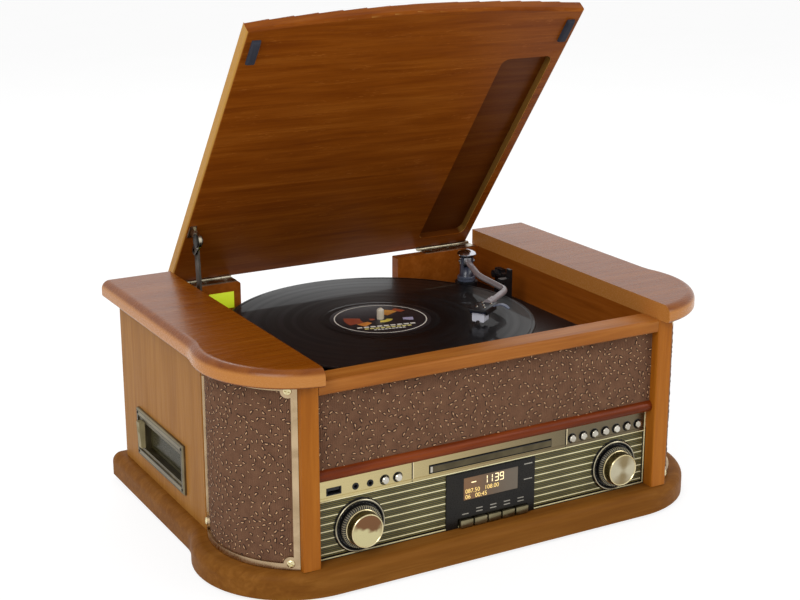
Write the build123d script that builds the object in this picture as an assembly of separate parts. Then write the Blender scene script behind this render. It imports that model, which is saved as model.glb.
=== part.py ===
from build123d import *
import math
import os

# Nostalgic stereo music centre: wooden cabinet with a record player under a hinged lid, a CD tray,
# a cassette slot in the left wall, and a metal control panel with knobs, keys and a display.
# Millimetres. X to the right as seen from the front, Y to the back, Z up from the standing surface.
# All places below are measured from the front faces of the pillars (y = 0) and from the middle (x = 0);
# save() moves every piece so that the origin lies under the middle of the whole object.

# ---- Driving dimensions ----------------------------------------------------------------------
# Cabinet
body_height = 210.0
foot_height = 3.0
foot_radius = 11.0
base_thick = 23.1
base_front_ledge = 8.7
base_side_ledge = 11.6
base_back_ledge = 11.5
base_bulge = 23.8
base_corner_radius = 91.6
base_blend = 46.0
base_edge_round = 9.2
cap_thick = 16.4
cap_front_ledge = 14.6
cap_side_ledge = 16.5
cap_back_ledge = 1.2
cap_bulge = 21.6
cap_corner_radius = 89.3
cap_blend = 61.0
cap_top_round = 8.2
cap_bottom_round = 3.0
wall = 12.3
inner_board = 9.2
pillar_width = 16.6
pillar_depth = 22.5
pillar_round = 1.5
side_bay = 38.4
joint_gap = 0.2
# Speaker grilles
grille_bulge = 7.6
grille_radius = 87.6
grille_start_y = 121.5
frame_thick = 2.2
frame_strip = 5.5
frame_lift = 0.6
cloth_board = 2.0
tab_radius = 6.4
tab_inset = 8.0
# Front
rail_depth = 24.5
rail_height = 12.3
rail_setback = 0.5
moulding_height = 10.7
moulding_depth = 9.7
panel_setback = 12.9
panel_thick = 1.2
panel_height = 75.1
cloth_setback = 9.2
cloth_panel_thick = 4.0
# Control panel
strip_height = 18.4
button_line = 12.3
key_width = 14.5
key_pitch = 14.9
key_height = 7.6
key_count = 5
key_proud = 3.7
button_radius = 3.5
button_hole = 4.2
button_proud = 3.3
right_button_count = 7
right_button_pitch = 12.7
dial_radius = 24.1
dial_thick = 2.7
knob_edge_gap = 43.1
tuning_edge_gap = 37.5
knob_axis_height = 26.4
knob_skirt_radius = 16.7
knob_cap_radius = 15.6
knob_proud = 16.8
knob_ribs = 36
shaft_radius = 3.0
running_gap = 0.05
free_gap = 0.4
display_width = 94.8
display_shift = 1.5
display_proud = 1.0
window_width = 58.3
window_height = 21.7
window_sill = 25.6
# CD tray
tray_bar_width = 129.3
tray_bar_height = 6.9
tray_shift = 2.0
tray_gap = 0.8
disc_radius = 60.6
disc_recess = 2.2
tray_length = 150.0
# Record player
record_radius = 150.8
record_thick = 1.8
record_left_gap = 9.8
record_right_gap = 42.4
record_front_gap = 11.4
record_hole = 3.65
record_below_top = 35.9
record_overhang = 10.8
label_radius = 50.0
platter_radius = 98.0
platter_height = 10.0
platter_skin = 3.0
platter_lift = 8.0
bearing_radius = 4.2
collar_radius = 3.6
collar_taper = 0.04
spindle_radius = 3.5
spindle_proud = 11.0
belt_ring_radius = 60.0
pulley_radius = 5.0
pulley_distance = 78.0
pulley_bearing = 130.0
belt_thick = 0.8
belt_gap = 0.3
belt_width = 4.0
deck_thick = 3.0
# Tonearm, from the record's right edge, the platter's centre line and the record's top face
arm_pivot = (2.5, 88.4)
arm_axis_height = 17.6
arm_bend = (-15.8, 34.4, 16.4)
arm_elbow = (-20.8, -23.7, 16.8)
arm_head = (-74.8, -60.5, 14.0)
arm_rest_place = (14.7, 26.9)
arm_tube_radius = 3.1
head_width = 18.0
head_length = 30.0
pivot_body_radius = 8.8
pivot_flange_radius = 10.4
pivot_cap_radius = 10.4
pivot_post_rise = 7.2
pivot_cap_rise = 4.7
stylus_gap = 1.9
# Lid
lid_gap = 2.7
lid_thick = 12.3
lid_round = 2.5
lid_bow = 10.2
lid_front = 7.2
lid_back = 8.4
lid_open = 52.65
pocket_clearance = 1.6
hinge_axis_back = 5.8
hinge_axis_below_lid = 3.4
hinge_width = 63.4
knuckle_radius = 2.2
pin_radius = 1.1
lid_leaf_height = 9.4
cabinet_leaf_depth = 16.0
leaf_thick = 1.2
left_block = 69.6
right_block = 101.8
block_below_lid = 4.4
# Lid stay
stay_x = 162.5
stay_disc = (77.8, 8.8)
stay_middle = (38.9, 43.0)
stay_foot = (43.4, 11.3)
stay_plate = 2.0
stay_gap = 0.2
stay_pin = 2.0
stay_link_width = 9.0
stay_disc_radius = 7.5
stay_disc_thick = 3.0
# Cassette slot
slot_from_back = 101.6
slot_height = 64.0
bezel_length = 119.7
bezel_height = 48.5
bezel_proud = 3.1
slot_length = 103.3
slot_open = 27.6
slot_rim = 1.5
eject_width = 8.0
eject_proud = 3.5
flap_thick = 1.4
cassette_depth = 92.0
cassette_shell = 7.0
# Speakers
speaker_radius = 36.0
speaker_depth = 38.0
baffle_front = 42.0
baffle_thick = 6.0
baffle_inset = 8.0

# ---- Derived places --------------------------------------------------------------------------
well_half = record_radius + (record_left_gap + record_right_gap) / 2
platter_x = record_left_gap + record_radius - well_half
pillar_in = well_half - 0.4
pillar_out = pillar_in + pillar_width
body_half = pillar_out + side_bay
platter_y = rail_depth + record_front_gap + record_radius
body_depth = platter_y + record_radius - record_overhang
base_top = foot_height + base_thick
cap_under = body_height - cap_thick
record_top = body_height - record_below_top
record_under = record_top - record_thick
platter_top = record_under - 0.1
platter_under = platter_top - platter_height
deck_top = platter_under - platter_lift
rail_under = cap_under + 0.2 - rail_height
moulding_under = base_top + panel_height
moulding_top = moulding_under + moulding_height
lid_half = well_half - lid_gap
lid_under = body_height - lid_thick
hinge_y = body_depth + hinge_axis_back
hinge_z = lid_under - hinge_axis_below_lid
hinge_drop = body_height - hinge_z
button_z = moulding_under - button_line
knob_z = base_top + knob_axis_height
lid_turn = math.radians(lid_open)
lid_reach = (lid_back - hinge_axis_back) * math.cos(lid_turn) + hinge_drop * math.sin(lid_turn)
origin_y = (hinge_y + lid_reach - cap_front_ledge) / 2
volume_x = -pillar_in + knob_edge_gap
tuning_x = pillar_in - tuning_edge_gap
record_edge_x = platter_x + record_radius
arm_x = record_edge_x + arm_pivot[0]
arm_y = platter_y + arm_pivot[1]
arm_z = record_top + arm_axis_height
pivot_top = arm_z + pivot_post_rise + pivot_cap_rise
pocket_depth = pivot_top + pocket_clearance - lid_under
bezel_y = body_depth - slot_from_back
slot_z = foot_height + slot_height
baffle_x = body_half - wall - baffle_inset
deck_under = deck_top - deck_thick
well_floor = deck_under - 14
speaker_middle = ((grille_start_y + baffle_front) / 2, (base_top + deck_under) / 2)
dial_front = panel_setback - dial_thick
display_front = panel_setback - display_proud
key_front = display_front - key_proud
key_floor = base_top + 0.7
rail_top = cap_under + 0.2
tray_back = panel_setback + 2.2 + tray_length
disc_middle = panel_setback + 2.2 + 4 + disc_radius
arm_slot = 9.0
flange_low = arm_z - 21.2
rest_x = record_edge_x + arm_rest_place[0]
rest_y = platter_y + arm_rest_place[1]
rest_ledge = record_top + 12.0


# ---- Helpers ---------------------------------------------------------------------------------
def save(name, shape):
    """Write one sub-part, moved so that the origin is under the middle of the object."""
    placed = Compound([Pos(0, -origin_y, 0) * solid for solid in shape.solids()])
    export_step(placed, os.path.join("parts", name + ".step"))


def block(low, high):
    """A box from its lowest to its highest corner."""
    size = [b - a for a, b in zip(low, high)]
    middle = [(a + b) / 2 for a, b in zip(low, high)]
    return Pos(*middle) * Box(*size)


def rod(axis, centre, radius, low, high):
    """A cylinder along X, Y or Z, from low to high on that axis; centre gives its other two places."""
    length = high - low
    middle = (low + high) / 2
    if axis == "X":
        return Pos(middle, *centre) * Rot(0, 90, 0) * Cylinder(radius, length)
    if axis == "Y":
        return Pos(centre[0], middle, centre[1]) * Rot(90, 0, 0) * Cylinder(radius, length)
    return Pos(*centre, middle) * Cylinder(radius, length)


def turned(points):
    """A solid turned about Z from a closed outline of (radius, height) points."""
    return revolve(make_face(Plane.XZ * Polyline(*points, close=True)), Axis.Z)


def mirrored(shape):
    """The same piece on the other side of the middle."""
    return mirror(shape, Plane.YZ)


def both(shape):
    """A piece and its mirror image, as separate solids."""
    return Compound([*shape.solids(), *mirrored(shape).solids()])


def group(shapes):
    """Separate solids kept in one sub-part."""
    return Compound([solid for shape in shapes for solid in shape.solids()])


def corner_circle(front, reach, radius):
    """Centre of a bowed corner that reaches forward to front and sideways to reach."""
    return reach - radius, front + radius


def bowed_edge(front, reach, radius, side):
    """The bowed corner's centre and the place where it runs into the straight side."""
    x, y = corner_circle(front, reach, radius)
    return x, y, y + math.sqrt(radius**2 - (side - x) ** 2)


# ---- Cabinet ---------------------------------------------------------------------------------
def base_board():
    """Plinth whose front corners bow out round the speaker grilles, with a rounded top edge."""
    side = body_half + base_side_ledge
    back = body_depth + base_back_ledge
    reach = body_half + base_bulge
    x, y, join = bowed_edge(-base_front_ledge, reach, base_corner_radius, side)
    edge = Line((0, -base_front_ledge), (x, -base_front_ledge))
    edge += ThreePointArc((x, -base_front_ledge), (reach, y), (side, join))
    edge += Polyline((side, join), (side, back), (0, back), (0, -base_front_ledge))
    half = make_face(edge)
    bend = half.vertices().sort_by_distance((side, join, 0))[0]
    half = fillet(bend, base_blend)
    board = extrude(half + mirror(half, Plane.YZ), base_thick)
    top = board.edges().group_by(Axis.Z)[-1]
    board = fillet(top.filter_by(lambda e: e.center().Y < back - 1), base_edge_round)
    return Pos(0, 0, foot_height) * board


def feet():
    """Four round rubber feet under the base board."""
    places = [(body_half - 30, 40), (body_half - 30, body_depth - 25)]
    profile = [(0, 0), (foot_radius - 1.5, 0), (foot_radius, foot_height), (0, foot_height)]
    return both(group([Pos(x, y, 0) * turned(profile) for x, y in places]))


def front_pillars():
    """The two square posts beside the control panel."""
    post = block((pillar_in, 0, base_top), (pillar_out, pillar_depth, cap_under))
    front = post.edges().filter_by(Axis.Z).group_by(Axis.Y)[0]
    return both(fillet(front, pillar_round))


def side_wall():
    """Right side wall."""
    return block((body_half - wall, grille_start_y, base_top), (body_half, body_depth, cap_under))


def side_wall_with_slot():
    """Left side wall, cut out for the cassette slot."""
    room = 3.5
    low = (-body_half - 1, bezel_y - bezel_length / 2 + room, slot_z - bezel_height / 2 + room)
    high = (-body_half + wall + 1, bezel_y + bezel_length / 2 - room, slot_z + bezel_height / 2 - room)
    return mirrored(side_wall()) - block(low, high)


def rear_panel():
    """Back board, low in the middle where the record reaches over it, with vents and socket holes."""
    inner = body_half - wall - joint_gap
    panel = block((-inner, body_depth - wall, base_top), (inner, body_depth, cap_under))
    notch = block((-well_half, body_depth - wall - 1, deck_top), (well_half, body_depth + 1, cap_under + 1))
    vent = block((-1.5, body_depth - wall - 1, -15), (1.5, body_depth + 1, 15))
    vents = [Pos(x, 0, base_top + 62) * vent for x in range(-150, -60, 8)]
    panel = panel - notch - vents
    panel -= [rod("Y", place, 5.6, body_depth - wall - 1, body_depth + 1) for place in phono_places()]
    panel -= [rod("Y", place, 1.75, body_depth - 4, body_depth + 1) for place in rear_screw_places()]
    return panel - inlet_hole(0.3)


def phono_places():
    """The phono sockets for line out, as (x, z)."""
    return [(x, base_top + 45) for x in (60, 76)]


def inlet_hole(gap):
    """Rectangular hole for the mains inlet."""
    half_width, half_height = 12.2 + gap, 8.2 + gap
    middle, height = body_half - wall - 60, base_top + 22
    low = (middle - half_width, body_depth - wall - 1, height - half_height)
    return block(low, (middle + half_width, body_depth + 1, height + half_height))


def top_cap():
    """Right top board: bowed corner, full bull-nosed outer edge, straight edge beside the lid."""
    side = body_half + cap_side_ledge
    back = body_depth + cap_back_ledge
    reach = body_half + cap_bulge
    x, y, join = bowed_edge(-cap_front_ledge, reach, cap_corner_radius, side)
    front = y - math.sqrt(cap_corner_radius**2 - (well_half - x) ** 2)
    turn = math.radians(-45)
    outermost = (x + cap_corner_radius * math.cos(turn), y + cap_corner_radius * math.sin(turn))
    edge = ThreePointArc((well_half, front), outermost, (side, join))
    edge += Polyline((side, join), (side, back), (well_half, back), (well_half, front))
    plan = make_face(edge)
    bend = plan.vertices().sort_by_distance((side, join, 0))[0]
    board = extrude(fillet(bend, cap_blend), cap_thick)
    rim = board.edges().filter_by(lambda e: e.center().X > well_half + 1 and e.center().Y < back - 1)
    board = fillet(rim.group_by(Axis.Z)[-1], cap_top_round)
    rim = board.edges().filter_by(lambda e: e.center().X > well_half + 1 and e.center().Y < back - 1)
    board = fillet(rim.group_by(Axis.Z)[0], cap_bottom_round)
    return Pos(0, 0, cap_under) * board


def inner_boards():
    """Boards inside: the record well's side walls, the speaker baffles and the two hinge blocks."""
    back = body_depth - wall - joint_gap
    low = (well_half, pillar_depth + joint_gap, well_floor)
    side = block(low, (well_half + inner_board, back, cap_under))
    low = (baffle_x - baffle_thick, baffle_front, base_top)
    baffle = block(low, (baffle_x, grille_start_y - joint_gap, cap_under))
    baffle -= rod("X", speaker_middle, speaker_radius - 3, baffle_x - baffle_thick - 1, baffle_x + 1)
    return group([both(side), both(baffle), hinge_blocks()])


def hinge_blocks():
    """Wooden blocks on the rear panel that carry the lid's hinges."""
    top = lid_under - block_below_lid
    front = body_depth - wall
    left = block((-well_half, front, deck_top), (-well_half + left_block, body_depth, top))
    right = block((well_half - right_block, front, deck_top), (well_half, body_depth, top))
    left_corner = left.edges().filter_by(Axis.Y).group_by(Axis.X)[-1].sort_by(Axis.Z)[-1]
    right_corner = right.edges().filter_by(Axis.Y).group_by(Axis.X)[0].sort_by(Axis.Z)[-1]
    return group([fillet(left_corner, 3), fillet(right_corner, 1)])


def front_rail():
    """Wooden rail over the cloth, between the pillars."""
    half = pillar_in - joint_gap
    rail = block((-half, rail_setback, rail_under), (half, rail_depth, rail_top))
    return fillet(rail.edges().filter_by(Axis.X).group_by(Axis.Y)[0], 2.5)


def moulding():
    """Half-round wooden strip between cloth and control panel."""
    back = panel_setback + panel_thick
    front = back - moulding_depth
    start = front + moulding_height / 2
    low, high = moulding_under, moulding_top
    edge = Line((back, low), (start, low))
    edge += ThreePointArc((start, low), (front, (low + high) / 2), (start, high))
    edge += Polyline((start, high), (back, high), (back, low))
    return extrude(Plane.YZ * make_face(edge), pillar_in - joint_gap, both=True)


def cloth_panel():
    """Board covered in cloth, above the moulding."""
    half = pillar_in - joint_gap
    return block((-half, cloth_setback, moulding_top), (half, cloth_setback + cloth_panel_thick, rail_under))


# ---- Speaker grilles and speakers --------------------------------------------------------------
def grille_centre():
    """Centre of the grille's bow and its radius."""
    return body_half + grille_bulge - grille_radius, grille_radius - 4.6


def grille_angles(margin):
    """Start and end of the bow in degrees, from the pillar to the side wall, less a margin in mm."""
    x, y = grille_centre()
    start = -math.degrees(math.acos((pillar_out + 0.4 - x) / grille_radius))
    end = math.degrees(math.asin((grille_start_y - joint_gap - y) / grille_radius))
    trim = math.degrees(margin / grille_radius)
    return start + trim, end - trim


def bowed_band(inner, outer, margin, low, high):
    """An upright band that follows the bow, between two radii and two heights."""
    x, y = grille_centre()
    start, end = (math.radians(a) for a in grille_angles(margin))
    middle = (start + end) / 2

    def at(radius, angle):
        return (x + radius * math.cos(angle), y + radius * math.sin(angle))

    edge = ThreePointArc(at(outer, start), at(outer, middle), at(outer, end))
    edge += Line(at(outer, end), at(inner, end))
    edge += ThreePointArc(at(inner, end), at(inner, middle), at(inner, start))
    edge += Line(at(inner, start), at(outer, start))
    band = Pos(0, 0, low) * extrude(make_face(edge), high - low)
    return band - block((pillar_in, 0, low - 1), (pillar_out + joint_gap, pillar_depth, high + 1))


def on_bow(shape, margin_angle, height):
    """Put a shape whose +X looks outwards on the frame's outer face, at an angle of the bow."""
    x, y = grille_centre()
    return Pos(x, y, height) * Rot(0, 0, margin_angle) * Pos(grille_radius, 0, 0) * shape


def screw_spots():
    """The frame's screws as (angle, height): two by the pillar, two by the side wall."""
    start, end = grille_angles(tab_inset)
    low, high = base_top + frame_lift + 5.4, cap_under - frame_lift - 5.4
    return [(start, low), (start, high), (end, low + 6), (end, high - 6)]


def grille_frame():
    """Trim frame of a speaker grille, with round tabs for its screws."""
    low, high = base_top + frame_lift, cap_under - frame_lift
    outer, inner = grille_radius, grille_radius - frame_thick
    frame = bowed_band(inner, outer, 0, low, high)
    window = bowed_band(inner - 1, outer + 1, frame_strip, low + frame_strip, high - frame_strip)
    tab = Rot(0, 90, 0) * Cylinder(tab_radius, 12)
    window -= [on_bow(tab, angle, height) for angle, height in screw_spots()]
    frame -= window
    hole = Rot(0, 90, 0) * Cylinder(1.9, 12)
    return frame - [on_bow(hole, angle, height) for angle, height in screw_spots()]


def grille_cloth():
    """Bowed board covered in cloth, behind the trim frame."""
    outer = grille_radius - frame_thick
    low, high = base_top + frame_lift + 1, cap_under - frame_lift - 1
    board = bowed_band(outer - cloth_board, outer, 1.0, low, high)
    hole = Rot(0, 90, 0) * Cylinder(1.9, 14)
    return board - [on_bow(hole, angle, height) for angle, height in screw_spots()]


def screw(head_radius, head_height, shank_radius, length):
    """A screw along X with a domed head that looks to +X and its seat at x = 0."""
    profile = [(0, -length), (shank_radius, -length), (shank_radius, 0), (head_radius, 0)]
    profile += [(head_radius * 0.86, head_height * 0.6), (head_radius * 0.4, head_height), (0, head_height)]
    return Rot(0, 90, 0) * turned(profile)


def bezel_screw_places():
    """The bezel's four corner screws as (y, z)."""
    half_length, half_height = bezel_length / 2 - 4.2, bezel_height / 2 - 4.2
    return [(bezel_y + y * half_length, slot_z + z * half_height) for y in (-1, 1) for z in (-1, 1)]


def rear_screw_places():
    """The rear panel's screws as (x, z)."""
    columns = (24 - body_half, -body_half / 2, body_half / 2, body_half - 24)
    return [(x, z) for x in columns for z in (base_top + 8, deck_top - 8)]


def screws():
    """All cabinet screws: grille frames, cassette bezel and rear panel."""
    large, small = screw(3.3, 1.5, 1.7, 3.6), Rot(0, 0, 180) * screw(1.5, 0.5, 0.8, 2.0)
    grille = both(group([on_bow(large, angle, height) for angle, height in screw_spots()]))
    bezel = [Pos(-body_half - bezel_proud, y, z) * small for y, z in bezel_screw_places()]
    rear = [Pos(x, body_depth, z) * Rot(0, 0, 90) * large for x, z in rear_screw_places()]
    return group([grille, *bezel, *rear])


def speakers():
    """Two speaker drivers: magnet, basket, rim and cone with its dust cap."""
    rim, depth = speaker_radius, speaker_depth
    profile = [(0, 0), (16, 0), (16, 10), (rim - 7, depth - 3), (rim, depth - 3), (rim, depth)]
    profile += [(rim - 5, depth), (9, depth - 14), (5, depth - 10), (0, depth - 9)]
    front = baffle_x - baffle_thick - joint_gap
    driver = Pos(front - depth, *speaker_middle) * Rot(0, 90, 0) * turned(profile)
    return both(driver)


# ---- Control panel -----------------------------------------------------------------------------
def left_sockets():
    """Places on the strip's left end: USB socket, two jacks, two buttons."""
    return 19 - pillar_in, [39.9 - pillar_in, 54.2 - pillar_in], [68.5 - pillar_in, 81.5 - pillar_in]


def right_buttons():
    """Places of the button row on the strip's right end."""
    last = pillar_in - 10
    return [last - right_button_pitch * i for i in range(right_button_count)][::-1]


def key_places():
    """Middles of the rectangular keys below the display."""
    first = display_shift + 2.6 - key_pitch * (key_count - 1) / 2
    return [first + key_pitch * i for i in range(key_count)]


def key_opening(low_y, high_y):
    """The opening that the row of keys stands in."""
    places = key_places()
    low = (places[0] - key_width / 2 - free_gap, low_y, key_floor - free_gap)
    return block(low, (places[-1] + key_width / 2 + free_gap, high_y, key_floor + key_height + free_gap))


def usb_hole(gap, low_y, high_y):
    """The USB socket's outer shape, larger by a gap all round."""
    x = left_sockets()[0]
    half_width, half_height = 6.6 + gap, 2.9 + gap
    low = (x - half_width, low_y, button_z - half_height)
    return block(low, (x + half_width, high_y, button_z + half_height))


def control_panel():
    """Pressed metal front: sheet with a raised border, two dividers and all openings."""
    half = pillar_in - joint_gap
    low_y, high_y = panel_setback, panel_setback + panel_thick
    low, high = base_top + 0.1, moulding_under - 0.1
    sheet = block((-half, low_y, low), (half, high_y, high))
    bead = 0.5
    strip_z = high - strip_height
    beads = [block((-half, low_y - bead, strip_z), (half, low_y, strip_z + 0.9))]
    beads.append(block((-half, low_y - bead, low), (half, low_y, low + 0.9)))
    ends = [(-half, low), (half - 0.9, low), (tray_shift - 82.1, strip_z), (tray_shift + 81.8, strip_z)]
    beads += [block((x, low_y - bead, z), (x + 0.9, low_y, high)) for x, z in ends]
    slot = block(
        (tray_shift - tray_bar_width / 2 - tray_gap, 0, button_z - tray_bar_height / 2 - tray_gap),
        (tray_shift + tray_bar_width / 2 + tray_gap, 20, button_z + tray_bar_height / 2 + tray_gap),
    )
    _, jacks, buttons = left_sockets()
    holes = [rod("Y", (x, button_z), 2.9, 0, 20) for x in jacks]
    holes += [rod("Y", (x, button_z), button_hole, 0, 20) for x in buttons + right_buttons()]
    holes += [rod("Y", (x, knob_z), shaft_radius + 0.6, 0, 20) for x in (volume_x, tuning_x)]
    plates = both_dials(0.1, 0) + display_block(0.1)
    panel = sheet + [b - plates for b in beads]
    return panel - slot - holes - usb_hole(0.2, 0, 20) - key_opening(0, 20)


def both_dials(gap, depth):
    """Round blanks where the dial plates lie on the panel."""
    back = panel_setback + depth
    left, right = (rod("Y", (x, knob_z), dial_radius + gap, dial_front, back) for x in (volume_x, tuning_x))
    return left + right


def display_block(gap):
    """Outer shape of the black display field, larger by a gap all round."""
    low = (display_shift - display_width / 2 - gap, display_front, base_top + 0.3 - gap)
    top = moulding_under - strip_height - 3.9
    return block(low, (display_shift + display_width / 2 + gap, panel_setback, top + gap))


def dial_plates():
    """Dished round plates behind the knobs, each with a raised rim and a bush for the shaft."""
    bore = shaft_radius + running_gap
    profile = [(bore, -panel_thick - 1), (shaft_radius + 0.6, -panel_thick - 1), (shaft_radius + 0.6, 0)]
    profile += [(dial_radius, 0), (dial_radius, dial_thick - 0.6), (dial_radius - 0.8, dial_thick)]
    profile += [(dial_radius - 1.8, dial_thick), (dial_radius - 2.4, dial_thick - 0.6)]
    profile += [(dial_radius - 3.4, 1.1), (bore, 1.1)]
    plate = Rot(90, 0, 0) * turned(profile)
    return group([Pos(x, panel_setback, knob_z) * plate for x in (volume_x, tuning_x)])


def display_field():
    """Black field with a sunk window for the display and an opening for the keys."""
    sill = base_top + window_sill
    low = (display_shift - window_width / 2, display_front - 1, sill)
    window = block(low, (display_shift + window_width / 2, display_front + 0.5, sill + window_height))
    return display_block(0) - window - key_opening(0, 20)


def knob():
    """Knob along Z from the dial: fluted skirt, ring, tapered body and domed cap, and its shaft."""
    height = knob_proud - dial_thick
    skirt, ring, cap = 19.4, knob_skirt_radius, knob_cap_radius
    profile = [(0, -4.9), (shaft_radius, -4.9), (shaft_radius, free_gap), (skirt, free_gap), (skirt, 1.2)]
    profile += [(skirt - 1.4, 3.8), (ring, 3.8), (ring, 5.2), (ring - 0.5, 5.8), (cap, height - 1.4)]
    profile += [(cap - 0.6, height - 0.5), (cap - 1.6, height - 0.5), (cap - 2.4, height - 0.8)]
    profile += [(cap / 2, height - 0.2), (0, height)]
    body = turned(profile)
    flute = Pos(skirt + 0.5, 0, 2.4) * Box(2.2, 0.9, 4.4)
    return body - [Rot(0, 0, 360 * i / knob_ribs) * flute for i in range(knob_ribs)]


def placed_knob(x):
    """A knob on its dial plate."""
    return Pos(x, dial_front, knob_z) * Rot(90, 0, 0) * knob()


def key(x):
    """A rectangular key with a sloped front and a retaining lip behind the panel."""
    back = panel_setback + panel_thick + 2.6
    side = [(key_front, key_floor + 0.8), (key_front + 0.8, key_floor), (back, key_floor)]
    side += [(back, key_floor + key_height + 1.6), (back - 1.4, key_floor + key_height + 1.6)]
    side += [(back - 1.4, key_floor + key_height), (key_front + 1.6, key_floor + key_height)]
    face = make_face(Plane.YZ * Polyline(*side, close=True))
    return Pos(x, 0, 0) * extrude(face, key_width / 2, both=True)


def button(x):
    """A small round push button with a domed face and a retaining collar behind the panel."""
    front = panel_setback - button_proud
    back = panel_setback + panel_thick + 2.6
    r, length = button_radius, back - front
    profile = [(0, 0), (r + 1.6, 0), (r + 1.6, 1.2), (r, 1.2), (r, length - 1.0), (r - 0.7, length - 0.3)]
    profile += [(r - 1.8, length), (0, length + 0.1)]
    return Pos(x, back, button_z) * Rot(90, 0, 0) * turned(profile)


def cd_tray():
    """Disc tray: front bar, disc recess, and the cut-out for the laser and the clamp."""
    front, plate_front = panel_setback - 0.8, panel_setback + 2.2
    bar = block(
        (tray_shift - tray_bar_width / 2, front, button_z - tray_bar_height / 2),
        (tray_shift + tray_bar_width / 2, plate_front, button_z + tray_bar_height / 2),
    )
    bar = fillet(bar.edges().filter_by(Axis.X).group_by(Axis.Y)[0], 0.6)
    half = disc_radius + 1.6
    x, z = tray_shift, button_z
    plate = block((x - half, plate_front, z - 2.6), (x + half, tray_back, z + 2.4))
    plate -= rod("Z", (x, disc_middle), disc_radius, z + 2.4 - disc_recess, z + 5)
    plate -= rod("Z", (x, disc_middle), 40.3, z + 1.6 - disc_recess, z + 5)
    plate -= rod("Z", (x, disc_middle), 19.0, z - 5, z + 5)
    return bar + plate - block((x - 13, disc_middle, z - 5), (x + 13, disc_middle + 48, z + 5))


def cd_mechanism():
    """Drive housing round the tray: open front, disc motor below, clamp bridge above."""
    half = disc_radius + 2.1
    front = panel_setback + panel_thick + 1.6
    low = (tray_shift - half - 6, front, button_z - 11)
    housing = block(low, (tray_shift + half + 6, tray_back + 8, button_z + 9))
    cavity_low = (tray_shift - half, front - 1, button_z - 3.1)
    housing -= block(cavity_low, (tray_shift + half, tray_back + 1, button_z + 4))
    front_cut = tray_bar_width / 2 + 1
    housing -= block(
        (tray_shift - front_cut, front - 1, button_z - tray_bar_height / 2 - 1),
        (tray_shift + front_cut, front + 3, button_z + tray_bar_height / 2 + 1),
    )
    bridge_gap = block(
        (tray_shift - half + 12, disc_middle - 46, button_z + 3),
        (tray_shift + half - 12, disc_middle - 12, button_z + 10),
    )
    return housing - bridge_gap


def circuit_boards():
    """Display and knob board with its controls, two button boards, main board and power board."""
    board = 1.6
    y = panel_setback + panel_thick + 9.6
    low, high = base_top + 4, button_z - 13
    front = block((-pillar_in + 6, y, low), (pillar_in - 6, y + board, high))
    for x in (volume_x, tuning_x):
        front += rod("Y", (x, knob_z), 8.5, panel_setback + panel_thick + 3.2, y)
    places = key_places()
    front += block((places[0] - 5, y - 4, key_floor + 1), (places[-1] + 5, y, key_floor + 6))
    _, _, buttons = left_sockets()
    row = right_buttons()
    left = block((buttons[0] - 6, y, button_z - 6), (buttons[-1] + 6, y + board, button_z + 6))
    right = block((row[0] - 5, y, button_z - 6), (row[-1] + 5, y + board, button_z + 6))
    for x in buttons:
        left += rod("Y", (x, button_z), 2.6, y - 4, y)
    for x in row:
        right += rod("Y", (x, button_z), 2.6, y - 4, y)
    main = block((-20, body_depth - 130, base_top + 6), (90, body_depth - 24, base_top + 6 + board))
    for x, tall in ((0, 14), (18, 9), (40, 22), (66, 16)):
        main += block((x, body_depth - 100, base_top + 7), (x + 12, body_depth - 80, base_top + 7 + tall))
    power = block((110, body_depth - 90, base_top + 6), (190, body_depth - 24, base_top + 6 + board))
    power += block((125, body_depth - 78, base_top + 7), (160, body_depth - 46, base_top + 34))
    return group([front, left, right, main, power])


def usb_socket():
    """USB socket: metal sleeve with its tongue."""
    depth = 10.0
    sleeve = usb_hole(0, panel_setback, panel_setback + depth)
    x = left_sockets()[0]
    back = panel_setback + depth - 1
    hollow = block((x - 6.25, panel_setback - 1, button_z - 2.55), (x + 6.25, back, button_z + 2.55))
    tongue = block((x - 5.5, panel_setback + 1, button_z + 0.3), (x + 5.5, back, button_z + 2.1))
    return sleeve - hollow + tongue


def mains_inlet():
    """Two-pin mains inlet with a flange on the rear panel."""
    middle, height = body_half - wall - 60, base_top + 22
    back = body_depth
    body = inlet_hole(0) & block((0, back - 20, 0), (400, back + 0.9, 400))
    body += block((middle - 14.5, back, height - 10.5), (middle + 14.5, back + 2, height + 10.5))
    recess = [rod("Y", (middle + side * 4.6, height), 5.1, back - 11, back + 3) for side in (-1, 1)]
    recess.append(block((middle - 4.6, back - 11, height - 5.1), (middle + 4.6, back + 3, height + 5.1)))
    pins = [rod("Y", (middle + side * 4.35, height), 1.2, back - 11, back + 1) for side in (-1, 1)]
    return body - recess + pins


def sockets():
    """USB socket and two jacks in the control panel, phono pair and mains inlet in the rear panel."""
    jack = Rot(90, 0, 0) * turned([(1.8, 0), (2.7, 0), (2.7, 11), (1.8, 11)])
    shapes = [Pos(x, panel_setback + 10.6, button_z) * jack for x in left_sockets()[1]]
    phono = Rot(-90, 0, 0) * turned([(1.6, -8), (5.4, -8), (5.4, 1.2), (4.1, 1.2), (4.1, 9), (1.6, 9)])
    shapes += [Pos(x, body_depth, z) * phono for x, z in phono_places()]
    return group([usb_socket(), mains_inlet(), *shapes])


# ---- Cassette slot -----------------------------------------------------------------------------
def slot_block(outer_x, inner_x, gap):
    """The slot's clear section between two x places, larger by a gap all round."""
    half_length, half_open = slot_length / 2 + gap, slot_open / 2 + gap
    low = (outer_x, bezel_y - half_length, slot_z - half_open)
    return block(low, (inner_x, bezel_y + half_length, slot_z + half_open))


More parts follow.
